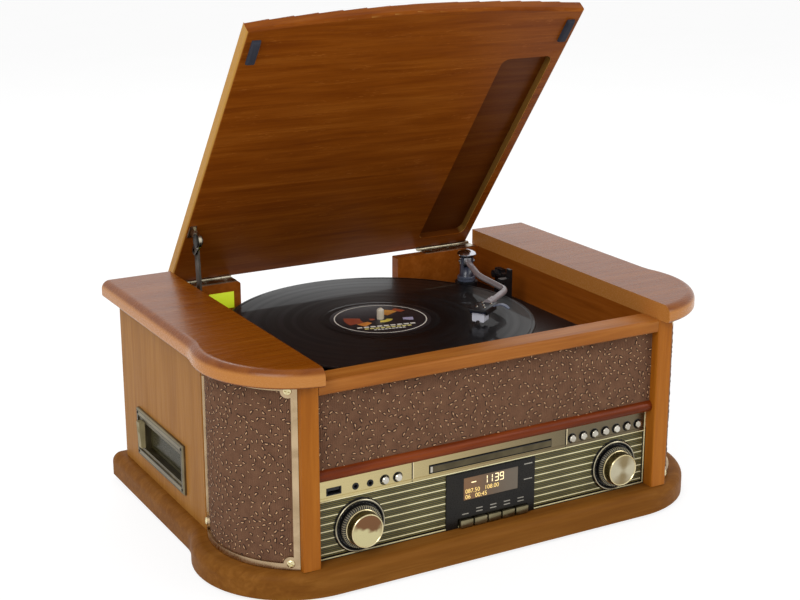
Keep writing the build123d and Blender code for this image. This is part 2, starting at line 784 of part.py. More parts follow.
def cassette_bezel():
    """Stepped metal frame on the left wall, with a collar that carries the flap's pivots."""
    outer = -body_half - bezel_proud
    half_length, half_height = bezel_length / 2, bezel_height / 2
    low = (outer, bezel_y - half_length, slot_z - half_height)
    frame = block(low, (-body_half, bezel_y + half_length, slot_z + half_height))
    frame = fillet(frame.faces().sort_by(Axis.X)[0].edges(), 1.6)
    step = slot_block(outer - 1, outer + 1.2, 3.4)
    collar = slot_block(-body_half - 0.1, -body_half + wall, slot_rim)
    rib_y = bezel_y + slot_length / 2 - eject_width - free_gap
    rib_low = (outer + 2.2, rib_y - slot_rim, slot_z - slot_open / 2 - 0.5)
    rib = block(rib_low, (-body_half + wall, rib_y, slot_z + slot_open / 2 + 0.5))
    frame = frame - step + collar - slot_block(outer - 1, -body_half + wall + 1, 0) + rib
    frame -= rod("Y", flap_axis(), 1.0 + running_gap, bezel_y - slot_length / 2 - 1, rib_y + 1)
    return frame - [rod("X", place, 0.85, outer - 1, outer + 2.1) for place in bezel_screw_places()]


def flap_axis():
    """The dust flap's pivot as (x, z)."""
    return -body_half + 5.0, slot_z + slot_open / 2 - 2.2


def flap_ends():
    """Front and back end of the dust flap."""
    front = bezel_y - slot_length / 2 + 0.3
    return front, bezel_y + slot_length / 2 - eject_width - free_gap - slot_rim - 0.3


def cassette_flap():
    """Dust flap hung from its top edge, with a pivot stub at each end and a stiffening rib."""
    x, z = flap_axis()
    front, back = flap_ends()
    low = slot_z - slot_open / 2 + free_gap
    plate = block((x - flap_thick / 2, front, low), (x + flap_thick / 2, back, z + 1.4))
    rib = block((x - flap_thick / 2 - 0.8, front + 6, low + 3), (x, back - 6, low + 4.2))
    return plate + rib + rod("Y", (x, z), 1.0, front - 1.1, back + 1.1)


def cassette_key():
    """Eject key at the back end of the slot, with a sloped outer face."""
    back = bezel_y + slot_length / 2 - free_gap
    front = back - eject_width + free_gap
    outer = -body_half - bezel_proud - eject_proud
    low, high = slot_z - slot_open / 2 + free_gap, slot_z + slot_open / 2 - free_gap
    side = [(outer + 1.5, low), (-body_half + wall + 2, low), (-body_half + wall + 2, high), (outer, high)]
    face = make_face(Plane.XZ * Polyline(*side, close=True))
    return Pos(0, back, 0) * extrude(face, back - front)


def cassette_deck():
    """Cassette drive behind the left wall, with a cavity for the cassette and one for the key."""
    outer = -body_half + wall + 0.3
    inner = outer + cassette_depth
    half_length, half_open = slot_length / 2 + 3, slot_open / 2
    half_height = half_open + cassette_shell
    low = (outer, bezel_y - half_length, slot_z - half_height)
    body = block(low, (inner, bezel_y + half_length, slot_z + half_height))
    front, back = flap_ends()
    low = (outer - 1, front - 0.5, slot_z - half_open)
    cavity = block(low, (outer + 66, back + 0.5, slot_z + half_open))
    key_room = slot_block(outer - 1, outer + 9, 0.2)
    motor = rod("X", (bezel_y + 20, slot_z - 4), 12, inner - 1, inner + 18)
    return body - cavity - key_room + motor


# ---- Record player -----------------------------------------------------------------------------
def turntable_deck():
    """Moulded deck: plate, bearing boss, tonearm pedestal, arm rest and the cue lever's bracket."""
    half = well_half - joint_gap
    back = body_depth - wall - joint_gap
    plate = block((-half, rail_depth + joint_gap, deck_under), (half, back, deck_top))
    r = platter_radius + 4
    plate += Pos(platter_x, platter_y, deck_top) * turned([(r, 0), (r + 2, 0), (r + 1, 1.4), (r, 1.4)])
    plate += rod("Z", (platter_x, platter_y), 9.0, deck_top - 20, platter_under - 0.6)
    plate += rod("Z", (arm_x, arm_y), 12.0, deck_top - 8, flange_low - 0.4)
    plate -= rod("Z", (platter_x, platter_y), bearing_radius + running_gap, deck_top - 19, record_top)
    plate -= rod("Z", (arm_x, arm_y), 4.0 + running_gap, deck_top - 7, record_top)
    plate -= rod("Z", motor_place(), 7.5, deck_under - 1, deck_top + 1)
    plate -= block(*switch_slot())
    return plate + arm_rest() + cue_bracket()


def motor_place():
    """The motor's axis, behind and left of the platter's."""
    turn = math.radians(pulley_bearing)
    return platter_x + pulley_distance * math.cos(turn), platter_y + pulley_distance * math.sin(turn)


def switch_slot():
    """Lowest and highest corner of the speed switch's slot in the deck."""
    x, y = well_half - 22, rail_depth + 40
    return (x - 1.7, y - 8, deck_under - 1), (x + 1.7, y + 8, deck_top + 1)


def arm_rest():
    """Post with a ledge under the parked tube and a prong behind it."""
    x, y, ledge = rest_x, rest_y, rest_ledge
    post = block((x - 4.5, y - 3.5, deck_top - 0.5), (x + 3, y + 3.5, ledge))
    post += block((x - 10.5, y - 3.5, ledge - 3.5), (x + 3, y + 3.5, ledge))
    return post + block((x, y - 3.5, ledge - 1), (x + 3, y + 3.5, ledge + 9))


def cue_bracket():
    """Bracket beside the well wall with the cue lever's pin."""
    y, z = cue_axis()
    bracket = block((well_half - 7, y - 6, deck_top - 0.5), (well_half - 1, y + 6, z + 5))
    return bracket + rod("X", (y, z), 1.5, well_half - 14.2, well_half - 6)


def cue_axis():
    """The cue lever's pivot as (y, z)."""
    return platter_y + 77.8, record_top + 2


def cue_lever():
    """Cue lever: hub on its pin, bent arm and thumb pad."""
    y, z = cue_axis()
    low_x, high_x = well_half - 13.0, well_half - 7.4
    lever = rod("X", (y, z), 4.2, low_x, high_x)
    lever += block((low_x + 1, y - 17, z - 1.5), (high_x - 1, y, z + 1.5))
    lever += block((low_x, y - 21, z - 1.5), (high_x, y - 15, z + 4.5))
    return lever - rod("X", (y, z), 1.5 + running_gap, low_x - 1, high_x + 1)


def speed_switch():
    """Slide switch for the speeds, in the deck's slot."""
    low, high = switch_slot()
    x = (low[0] + high[0]) / 2
    front = low[1] + free_gap
    stem = block((x - 1.3, front, deck_under - 3), (x + 1.3, front + 5, deck_top + 0.5))
    grip = block((x - 3.5, front - 1, deck_top + 0.4), (x + 3.5, front + 6, deck_top + 4.4))
    grip = fillet(grip.edges().group_by(Axis.Z)[-1], 1)
    foot = block((x - 3.0, front, deck_under - 4), (x + 3.0, front + 5, deck_under - 0.4))
    return stem + grip + foot


def platter():
    """Platter: rim, skin, belt ring, hub, bearing shaft, tapered centring collar and spindle."""
    r, low, high = platter_radius, platter_under, platter_top
    under = high - platter_skin
    ring = belt_ring_radius
    profile = [(0, deck_top - 17), (bearing_radius, deck_top - 17), (bearing_radius, low), (10, low)]
    profile += [(10, under), (ring - 3, under), (ring - 3, low), (ring, low), (ring, under)]
    profile += [(r - 4, under), (r - 4, low), (r, low), (r, high - 1), (r - 1, high)]
    profile += [(collar_radius, high), (collar_radius - collar_taper, record_top + 0.1)]
    profile += [(spindle_radius, record_top + 0.1)]
    profile += [(spindle_radius, record_top + spindle_proud - 2)]
    profile += [(1.2, record_top + spindle_proud), (0, record_top + spindle_proud)]
    return Pos(platter_x, platter_y, 0) * turned(profile)


def record():
    """Long-playing record: raised rim, thinner grooved band, thicker label area, centre hole."""
    r, low, high = record_radius, record_under, record_top
    profile = [(record_hole, low), (r - 1.2, low), (r, low + 0.5), (r, high - 0.5), (r - 0.9, high)]
    profile += [(r - 3.0, high), (r - 4.2, high - 0.35)]
    profile += [(label_radius + 8, high - 0.35), (label_radius + 5, high)]
    profile += [(record_hole, high)]
    return Pos(platter_x, platter_y, 0) * turned(profile)


def turntable_motor():
    """Motor under the deck with its shaft."""
    x, y = motor_place()
    body = rod("Z", (x, y), 16.0, deck_under - 21, deck_under - 0.2)
    return body + rod("Z", (x, y), 1.5, deck_under - 1, platter_under - 0.5)


def motor_pulley():
    """Crowned pulley on the motor's shaft."""
    low = platter_under - 1.4
    crown, r = belt_width + 2.4, pulley_radius
    bore = 1.5 + running_gap
    profile = [(bore, 0), (r + 1, 0), (r + 1, 0.8), (r, 1.2), (r, crown - 0.8)]
    profile += [(r + 1, crown - 0.4), (r + 1, crown), (bore, crown)]
    return Pos(*motor_place(), low) * turned(profile)


def drive_belt():
    """Flat belt round the platter's ring and the motor's pulley."""
    inner, outer = belt_outline(belt_gap), belt_outline(belt_gap + belt_thick)
    return Pos(platter_x, platter_y, platter_under + 0.3) * extrude(outer - inner, belt_width - 0.6)


def belt_outline(gap):
    """Outline round both belt wheels at a gap from them: two circles and their outer tangents."""
    big, small = belt_ring_radius + gap, pulley_radius + gap
    lean = math.degrees(math.acos((big - small) / pulley_distance))
    small_at = Rot(0, 0, pulley_bearing) * Pos(pulley_distance, 0)
    tangents = []
    for side in (-lean, lean):
        turn = math.radians(pulley_bearing + side)
        direction = (math.cos(turn), math.sin(turn))
        tangents.append((big * direction[0], big * direction[1]))
        x = pulley_distance * math.cos(math.radians(pulley_bearing)) + small * direction[0]
        y = pulley_distance * math.sin(math.radians(pulley_bearing)) + small * direction[1]
        tangents.append((x, y))
    strip = make_face(Polyline(tangents[0], tangents[1], tangents[3], tangents[2], close=True))
    return Circle(big) + small_at * Circle(small) + strip


def arm_place(point):
    """A tonearm point, given from the record's right edge, the centre line and the top face."""
    return Vector(record_edge_x + point[0], platter_y + point[1], record_top + point[2])


def tonearm_pivot():
    """Rotating post: shaft, stepped flange, slotted housing and domed cap."""
    low, top = flange_low, arm_z + pivot_post_rise
    r = pivot_body_radius
    profile = [(0, deck_top - 6), (4.0, deck_top - 6), (4.0, low), (pivot_flange_radius, low)]
    flange = pivot_flange_radius
    profile += [(flange, low + 2.4), (flange - 1, low + 3), (flange - 1, low + 5.4)]
    profile += [(r, low + 6), (r, top), (pivot_cap_radius, top), (pivot_cap_radius, top + 1)]
    profile += [(pivot_cap_radius - 1.6, top + 2.8), (pivot_cap_radius * 0.5, top + 4.2), (0, pivot_top)]
    post = Pos(arm_x, arm_y, 0) * turned(profile)
    slot = block((-arm_slot / 2, -20, arm_z - 6.5), (arm_slot / 2, 5.4, arm_z + 6.5))
    post -= Pos(arm_x, arm_y, 0) * Rot(0, 0, arm_heading()) * slot
    bore = rod("X", (0, arm_z), 1.5 + running_gap, -r - 1, r + 1)
    return post - Pos(arm_x, arm_y, 0) * Rot(0, 0, arm_heading()) * bore


def arm_heading():
    """How far the tube's first stretch is turned from straight forward, in degrees about Z."""
    return -math.degrees(math.atan2(arm_pivot[0] - arm_bend[0], arm_pivot[1] - arm_bend[1]))


def tonearm():
    """Cranked tube from its pivot block to the head shell, with the finger lift."""
    start = Vector(arm_x, arm_y, arm_z)
    bend, elbow, head = (arm_place(p) for p in (arm_bend, arm_elbow, arm_head))
    toward = (head - elbow).normalized()
    neck = head - toward * 22
    path = FilletPolyline(start, bend, elbow, neck, radius=9)
    section = Plane(origin=start, z_dir=bend - start) * Circle(arm_tube_radius)
    tube = sweep(section, path=path)
    pivot_block = block((-arm_slot / 2 + 0.5, -5, arm_z - 4), (arm_slot / 2 - 0.5, 4, arm_z + 4))
    pivot_block += rod("X", (0, arm_z), 1.5, -pivot_body_radius + 0.4, pivot_body_radius - 0.4)
    tube += Pos(arm_x, arm_y, 0) * Rot(0, 0, arm_heading()) * pivot_block
    return tube + head_shell()


def head_frame():
    """Plane at the head: local X runs along the head shell to its front, Z stays up."""
    elbow, head = arm_place(arm_elbow), arm_place(arm_head)
    toward = Vector(head.X - elbow.X, head.Y - elbow.Y, 0)
    return Plane(origin=(head.X, head.Y, head.Z), x_dir=toward, z_dir=(0, 0, 1))


def head_shell():
    """Flat head shell with a rounded back, a neck socket and a curved finger lift."""
    half = head_width / 2
    plate = extrude(Pos(-head_length / 2 + 6, 0) * RectangleRounded(head_length, head_width, 3), 2.2)
    socket = rod("X", (0, 1.2), 4.2, -head_length - 2, -head_length + 12)
    lift = extrude(Pos(2, half + 6) * RectangleRounded(5, 13, 2.2), 1.2)
    cheeks = [block((10 - head_length, y - 0.8, -4), (4, y + 0.8, 1)) for y in (0.8 - half, half - 0.8)]
    return head_frame().location * (plate + socket + lift + cheeks)


def cartridge():
    """Cartridge under the head shell: body with a sloped foot, and the stylus."""
    drop = arm_head[2] - stylus_gap
    body = block((-13, -6.4, -drop + 2.4), (4.5, 6.4, -0.1))
    body = chamfer(body.edges().filter_by(Axis.Y).group_by(Axis.Z)[0], 1.5)
    tip = Pos(0, 0, -drop) * Cone(0.25, 1.1, 2.8, align=(Align.CENTER, Align.CENTER, Align.MIN))
    return head_frame().location * (body + tip)


# ---- Lid -----------------------------------------------------------------------------------------
def opened(shape):
    """Turn a lid piece from its closed place to its open rest."""
    return shape.rotate(Axis((0, hinge_y, hinge_z), (1, 0, 0)), -lid_open)


def lid_panel():
    """Lid board with a bowed front edge and a routed pocket over the tonearm."""
    back = body_depth + lid_back
    left, right = (-lid_half, -lid_front), (lid_half, -lid_front)
    edge = ThreePointArc(left, (0, -lid_front - lid_bow), right)
    edge += Polyline(right, (lid_half, back), (-lid_half, back), left)
    board = Pos(0, 0, lid_under) * extrude(make_face(edge), lid_thick)
    rims = board.edges().filter_by(lambda e: abs(e.tangent_at(0.5).Z) < 0.1 and e.center().Y < back - 1)
    board = fillet(rims, lid_round)
    front, rear = platter_y - 135.5, arm_y + 43
    low_x, high_x = arm_x - 30.6, arm_x + 26.7
    plan = RectangleRounded(high_x - low_x, rear - front, 8)
    pocket = Pos((low_x + high_x) / 2, (front + rear) / 2, lid_under) * extrude(plan, pocket_depth)
    return opened(board - pocket)


def lid_pads():
    """Felt pads under the lid's front corners."""
    pad = block((lid_half - 15, 4, rail_top + 0.2), (lid_half - 7, 31, lid_under))
    return opened(both(pad))


def hinge_segments():
    """Lid knuckles and cabinet knuckles along a hinge, as (start, end) from its left end."""
    fifth = (hinge_width - 4 * free_gap - 8) / 5
    edges = [0, fifth + 8]
    for _ in range(4):
        edges += [edges[-1] + free_gap, edges[-1] + free_gap + fifth]
    pairs = list(zip(edges[::2], edges[1::2]))
    return pairs[::2], pairs[1::2]


def hinge_starts():
    """Left ends of the two hinges."""
    return [-lid_half + 0.3, lid_half - 0.3 - hinge_width]


def cabinet_leaf(x):
    """Cabinet half of a butt hinge: leaf on its block, two knuckles and the pin."""
    _, fixed_part = hinge_segments()
    top = lid_under - block_below_lid
    clear = knuckle_radius + free_gap
    low = (x, hinge_y - cabinet_leaf_depth, top)
    leaf = block(low, (x + hinge_width, hinge_y - clear, top + leaf_thick))
    for start, end in fixed_part:
        leaf += block((x + start, hinge_y - clear - 1, top), (x + end, hinge_y, top + leaf_thick))
        leaf += rod("X", (hinge_y, hinge_z), knuckle_radius, x + start, x + end)
    return leaf + rod("X", (hinge_y, hinge_z), pin_radius, x, x + hinge_width)


def lid_leaf(x):
    """Lid half of a butt hinge: leaf on the lid's back edge, and three knuckles on short straps."""
    lid_part, _ = hinge_segments()
    face = body_depth + lid_back
    back = face + leaf_thick
    strap = hinge_z + 1.0
    leaf = block((x, face, lid_under + 0.6), (x + hinge_width, back, lid_under + lid_leaf_height))
    for start, end in lid_part:
        leaf += block((x + start, hinge_y, strap), (x + end, back, lid_under - running_gap))
        leaf += block((x + start, face, strap), (x + end, back, lid_under + 1))
        leaf += rod("X", (hinge_y, hinge_z), knuckle_radius, x + start, x + end)
    return leaf - rod("X", (hinge_y, hinge_z), pin_radius + running_gap, x - 1, x + hinge_width + 1)


def stay_points():
    """Disc centre on the closed lid, and the middle and foot pivots on the open lid, as (y, z)."""
    disc = (hinge_y - stay_disc[0], hinge_z - stay_disc[1])
    middle = (hinge_y - stay_middle[0], hinge_z + stay_middle[1])
    foot = (hinge_y - stay_foot[0], hinge_z - stay_foot[1])
    return disc, middle, foot


def open_place(point):
    """Where a (y, z) place of the closed lid stands when the lid is open."""
    turn = math.radians(-lid_open)
    y, z = point[0] - hinge_y, point[1] - hinge_z
    cos, sin = math.cos(turn), math.sin(turn)
    return hinge_y + y * cos - z * sin, hinge_z + y * sin + z * cos


def link(start, end, low_x, high_x, bore, eye):
    """A flat link with rounded ends between two (y, z) places, bored at its start and its end."""
    run = math.hypot(end[0] - start[0], end[1] - start[1])
    plan = Pos(run / 2, 0) * SlotOverall(run + stay_link_width, stay_link_width)
    plan = plan - Circle(bore) - Pos(run, 0) * Circle(eye)
    plate = extrude(plan, high_x - low_x)
    frame = Plane(origin=(low_x, *start), x_dir=(0, end[0] - start[0], end[1] - start[1]), z_dir=(1, 0, 0))
    return frame.location * plate


def stay_lever():
    """Short upper link of the lid stay."""
    disc, middle, _ = stay_points()
    inner = -stay_x - stay_gap / 2
    return link(open_place(disc), middle, inner - stay_plate, inner, stay_pin + running_gap, 2.2)


def stay_arm():
    """Long lower link of the lid stay."""
    _, middle, foot = stay_points()
    outer = -stay_x + stay_gap / 2
    return link(foot, middle, outer, outer + stay_plate, stay_pin + running_gap, 2.2)


def lid_hinge_fittings():
    """Lid halves of the hinges, and the stay's bracket: a disc on a flange under the lid."""
    disc, _, _ = stay_points()
    high = -stay_x - stay_gap * 1.5 - stay_plate
    low = high - stay_disc_thick
    bracket = rod("X", disc, stay_disc_radius, low, high)
    bracket += block((low, disc[0] - 5, disc[1]), (high, disc[0] + 5, lid_under))
    bracket += block((low - 4, disc[0] - 8, lid_under - leaf_thick), (high, disc[0] + 8, lid_under))
    bracket += rod("X", disc, stay_pin, high - 1, -stay_x - stay_gap / 2)
    return opened(group([*(lid_leaf(x) for x in hinge_starts()), bracket]))


def cabinet_hinge_fittings():
    """Cabinet halves of the hinges, and the stay's foot bracket on the well wall."""
    _, _, foot = stay_points()
    wall_x = -well_half
    bracket = block((wall_x, foot[0] - 8, foot[1] - 10), (wall_x + 1.5, foot[0] + 8, foot[1] + 8))
    bracket += rod("X", foot, 4.5, wall_x + 1, -stay_x)
    bracket += rod("X", foot, stay_pin, wall_x + 1, -stay_x + stay_gap / 2 + stay_plate)
    return group([*(cabinet_leaf(x) for x in hinge_starts()), bracket])


# ---- Write every sub-part ------------------------------------------------------------------------
os.makedirs("parts", exist_ok=True)

save("base_board", base_board())
save("feet", feet())
save("front_pillars", front_pillars())
save("side_wall_left", side_wall_with_slot())
save("side_wall_right", side_wall())
save("rear_panel", rear_panel())
save("top_cap_left", mirrored(top_cap()))
save("top_cap_right", top_cap())
save("inner_boards", inner_boards())
save("front_rail", front_rail())
save("moulding", moulding())
save("cloth_panel", cloth_panel())
save("grille_frames", both(grille_frame()))
save("grille_cloths", both(grille_cloth()))
save("screws", screws())
save("speakers", speakers())
save("control_panel", control_panel())
save("dial_plates", dial_plates())
save("display_field", display_field())
save("volume_knob", placed_knob(volume_x))
save("tuning_knob", placed_knob(tuning_x))
for number, place in enumerate(key_places(), 1):
    save(f"key_{number}", key(place))
for number, place in enumerate(left_sockets()[2], 1):
    save(f"left_button_{number}", button(place))
for number, place in enumerate(right_buttons(), 1):
    save(f"right_button_{number}", button(place))
save("cd_tray", cd_tray())
save("cd_mechanism", cd_mechanism())
save("circuit_boards", circuit_boards())
save("sockets", sockets())
save("cassette_bezel", cassette_bezel())
save("cassette_flap", cassette_flap())
save("cassette_key", cassette_key())
save("cassette_deck", cassette_deck())
save("turntable_deck", turntable_deck())
save("cue_lever", cue_lever())
save("speed_switch", speed_switch())
save("platter", platter())
save("record", record())
save("turntable_motor", turntable_motor())
save("motor_pulley", motor_pulley())
save("drive_belt", drive_belt())
save("tonearm_pivot", tonearm_pivot())
save("tonearm", tonearm())
save("cartridge", cartridge())
save("lid_panel", lid_panel())
save("lid_pads", lid_pads())
save("lid_hinge_fittings", lid_hinge_fittings())
save("cabinet_hinge_fittings", cabinet_hinge_fittings())
save("stay_lever", stay_lever())
save("stay_arm", stay_arm())
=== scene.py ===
"""Looks of the stereo music centre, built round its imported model.

The classes take millimetres as the drawing has them: X to the right, Y back from the pillar fronts,
Z up from the floor. Shape turns them into metres in the model's frame.
"""

import logging
import math
from collections.abc import Iterable
from dataclasses import dataclass
from enum import Enum

import bmesh
import bpy
from bpy.types import ID, Material, Mesh, NodeSocket, NodeTree, Object
from mathutils import Euler, Matrix, Vector


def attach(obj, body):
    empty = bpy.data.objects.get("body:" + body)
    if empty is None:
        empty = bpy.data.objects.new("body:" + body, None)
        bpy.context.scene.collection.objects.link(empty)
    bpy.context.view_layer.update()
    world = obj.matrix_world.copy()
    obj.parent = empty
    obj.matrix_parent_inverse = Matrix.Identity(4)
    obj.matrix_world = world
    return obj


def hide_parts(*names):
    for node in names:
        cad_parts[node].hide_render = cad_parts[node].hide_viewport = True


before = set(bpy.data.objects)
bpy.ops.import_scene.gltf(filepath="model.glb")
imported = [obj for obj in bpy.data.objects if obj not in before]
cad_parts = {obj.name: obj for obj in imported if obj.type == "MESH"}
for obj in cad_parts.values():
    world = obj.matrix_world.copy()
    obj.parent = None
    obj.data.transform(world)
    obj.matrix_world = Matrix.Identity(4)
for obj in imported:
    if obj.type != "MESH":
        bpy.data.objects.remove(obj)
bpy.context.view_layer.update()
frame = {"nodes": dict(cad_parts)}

Pair = tuple[float, float]
Point = tuple[float, float, float]
Colour = tuple[float, float, float, float]
Input = float | Point | Colour | NodeSocket

LOG = logging.getLogger("music_centre")
NODES = frame["nodes"]
MM = 0.001
PILLAR_FRONT_Y = -165.98
TO_METRES = Matrix.Scale(MM, 4)
TO_MILLIMETRES = Matrix.Scale(1 / MM, 4)
TO_FRAME = TO_METRES @ Matrix.Translation((0, PILLAR_FRONT_Y, 0))
FACE_FRONT = Matrix.Rotation(math.pi / 2, 4, "X")
LID_HINGE = (332.5, 194.3)
LID_OPEN = math.radians(52.65)
LID_UNDER = 197.7
SCREW_SPIN = 1.2
WHITE = (1.0, 1.0, 1.0, 1.0)


def srgb(code: int) -> Colour:
    """Turn a paint chart's colour into the linear one that a shader takes.

    Args:
        code: red, green and blue, two hexadecimal digits each.

    Returns:
        Linear red, green, blue and 1.
    """
    parts = [(code >> shift & 255) / 255 for shift in (16, 8, 0)]
    linear = [c / 12.92 if c <= 0.04045 else ((c + 0.055) / 1.055) ** 2.4 for c in parts]
    return (*linear, 1.0)


def polar(radius: float, turn: float) -> Pair:
    """Point at a distance from the middle, turned by radians."""
    return radius * math.cos(turn), radius * math.sin(turn)


def lid_place() -> Matrix:
    """Turn from the closed lid's millimetres to the open lid's."""
    hinge = Matrix.Translation((0, *LID_HINGE))
    return hinge @ Matrix.Rotation(-LID_OPEN, 4, "X") @ hinge.inverted()


class Grain(Enum):
    """The axis that the wood's fibres run along."""

    ACROSS = 0
    DEEP = 1
    UPRIGHT = 2


# ---- Node trees ------------------------------------------
class Wiring:
    """Short way to add nodes to a tree and join them."""

    def __init__(self, tree: NodeTree) -> None:
        """Keep the tree that the nodes go into."""
        self.tree = tree

    def node(
        self, kind: str, inputs: dict | None = None, out: int | str = 0, **settings: object
    ) -> NodeSocket:
        """Add one node.

        Args:
            kind: the node's type.
            inputs: what goes into each socket, a value or another node's output.
            out: which output to hand back.
            settings: the node's own options.

        Returns:
            The chosen output socket.
        """
        made = self.tree.nodes.new(kind)
        for key, value in settings.items():
            setattr(made, key, value)
        for key, value in (inputs or {}).items():
            if isinstance(value, NodeSocket):
                self.tree.links.new(value, made.inputs[key])
            else:
                made.inputs[key].default_value = value
        return made.outputs[out]

    def sum(self, operation: str, first: Input, second: Input = 0.0, third: Input = 0.0) -> NodeSocket:
        """Arithmetic on one to three numbers or sockets: ADD, COSINE, LESS_THAN and so on."""
        return self.node("ShaderNodeMath", {0: first, 1: second, 2: third}, operation=operation)

    def times(self, first: Input, second: Input) -> NodeSocket:
        """Product of two numbers or sockets."""
        return self.sum("MULTIPLY", first, second)

    def weighted(self, first: Input, weight: float, second: Input, other: float) -> NodeSocket:
        """The first value times its weight plus the second one times the other weight."""
        return self.sum("MULTIPLY_ADD", first, weight, self.times(second, other))

    def axis(self, vector: NodeSocket, index: int) -> NodeSocket:
        """One of a vector's three numbers."""
        return self.node("ShaderNodeSeparateXYZ", {"Vector": vector}, out=index)

    def vector(self, **numbers: Input) -> NodeSocket:
        """A vector from its X, Y and Z, nought where one is left out."""
        return self.node("ShaderNodeCombineXYZ", numbers)


class Shader(Wiring):
    """One material and the usual steps of its recipe."""

    def __init__(self, name: str) -> None:
        """Start an empty material.

        Args:
            name: of the material.
        """
        self.material = bpy.data.materials.new(name)
        self.material.use_nodes = True
        self.material.node_tree.nodes.clear()
        super().__init__(self.material.node_tree)

    def place(
        self, scale: Point = (1, 1, 1), shift: Point = (0, 0, 0), turn: Point = (0, 0, 0)
    ) -> NodeSocket:
        """Object coordinates with their scale per metre, shift in metres and turn in radians."""
        inputs = {"Vector": self.node("ShaderNodeTexCoord", out="Object"), "Location": shift}
        return self.node("ShaderNodeMapping", inputs | {"Rotation": turn, "Scale": scale})

    def noise(self, vector: NodeSocket, detail: float, twist: float = 0.0, scale: float = 1.0) -> NodeSocket:
        """Cloudy values around 0.5, with finer layers by detail and distorted by twist."""
        inputs = {"Vector": vector, "Scale": scale, "Detail": detail, "Distortion": twist}
        return self.node("ShaderNodeTexNoise", inputs)

    def clouds(self, size: float, detail: float = 2.0, twist: float = 0.0) -> NodeSocket:
        """Noise of the object coordinates, as many clouds per metre as the size says."""
        return self.noise(self.place((size, size, size)), detail, twist)

    def rings(self, radius: NodeSocket, scale: float, detail: float) -> NodeSocket:
        """Noise along a radius."""
        inputs = {"W": radius, "Scale": scale, "Detail": detail}
        return self.node("ShaderNodeTexNoise", inputs, noise_dimensions="1D")

    def ramp(self, value: NodeSocket, *stops: tuple[float, Colour]) -> NodeSocket:
        """Colour that follows a value.

        Args:
            value: the socket that drives it.
            stops: places from 0 to 1 with their colours.

        Returns:
            The colour socket.
        """
        out = self.node("ShaderNodeValToRGB", {"Fac": value})
        elements = out.node.color_ramp.elements
        while len(elements) < len(stops):
            elements.new(0.5)
        for element, (place, colour) in zip(elements, stops):
            element.position, element.color = place, colour
        return out

    def window(
        self, value: NodeSocket, low: float, high: float, start: float = 0.0, end: float = 1.0
    ) -> NodeSocket:
        """Smooth step of a value, from start below low to end above high."""
        inputs = {"Value": value, "From Min": low, "From Max": high, "To Min": start, "To Max": end}
        return self.node("ShaderNodeMapRange", inputs, interpolation_type="SMOOTHSTEP")

    def blend(self, factor: Input, first: Input, second: Input) -> NodeSocket:
        """Mix of two colours."""
        return self.node("ShaderNodeMix", {0: factor, 6: first, 7: second}, out=2, data_type="RGBA")

    def tint(self, mask: NodeSocket, share: float, colour: Input, other: Input) -> NodeSocket:
        """A colour that turns into a share of another one where the mask is one."""
        return self.blend(self.times(mask, share), colour, other)

    def between(self, factor: Input, first: Input, second: Input) -> NodeSocket:
        """Mix of two numbers."""
        return self.node("ShaderNodeMix", {0: factor, 2: first, 3: second}, data_type="FLOAT")

    def relief(self, height: NodeSocket, depth: float, strength: float) -> NodeSocket:
        """Bump from a height of 0 to 1, which stands for a depth in metres."""
        return self.node("ShaderNodeBump", {"Height": height, "Distance": depth, "Strength": strength})

    def surface(
        self, colour: Input, roughness: Input = 0.5, metallic: Input = 0.0,
        normal: NodeSocket | None = None, **fixed: Input,
    ) -> Material:
        """Close the recipe with the main shader.

        Args:
            colour: base colour.
            roughness: number or socket.
            metallic: number or socket.
            normal: bump's output.
            fixed: other inputs by name, with _ for a space, the same over the whole surface.

        Returns:
            The finished material.
        """
        inputs = {"Base Color": colour, "Roughness": roughness, "Metallic": metallic}
        if normal is not None:
            inputs["Normal"] = normal
        inputs |= {key.replace("_", " "): value for key, value in fixed.items()}
        return self.close(self.node("ShaderNodeBsdfPrincipled", inputs))

    def close(self, shader: NodeSocket) -> Material:
        """Join a shader to the output.

        Args:
            shader: the shader's socket.

        Returns:
            The finished material.
        """
        output = self.tree.nodes.new("ShaderNodeOutputMaterial")
        self.tree.links.new(shader, output.inputs["Surface"])
        return self.material


# ---- Finishes --------------------------------------------
@dataclass(frozen=True)
class Finish:
    """A named surface. Each kind says in recipe() how its material is made."""

    name: str

    def material(self) -> Material:
        """The material, made once."""
        name = f"finish_{self.name}"
        return bpy.data.materials.get(name) or self.recipe(Shader(name))

    def recipe(self, shader: Shader) -> Material:
        """Build the material."""
        raise NotImplementedError


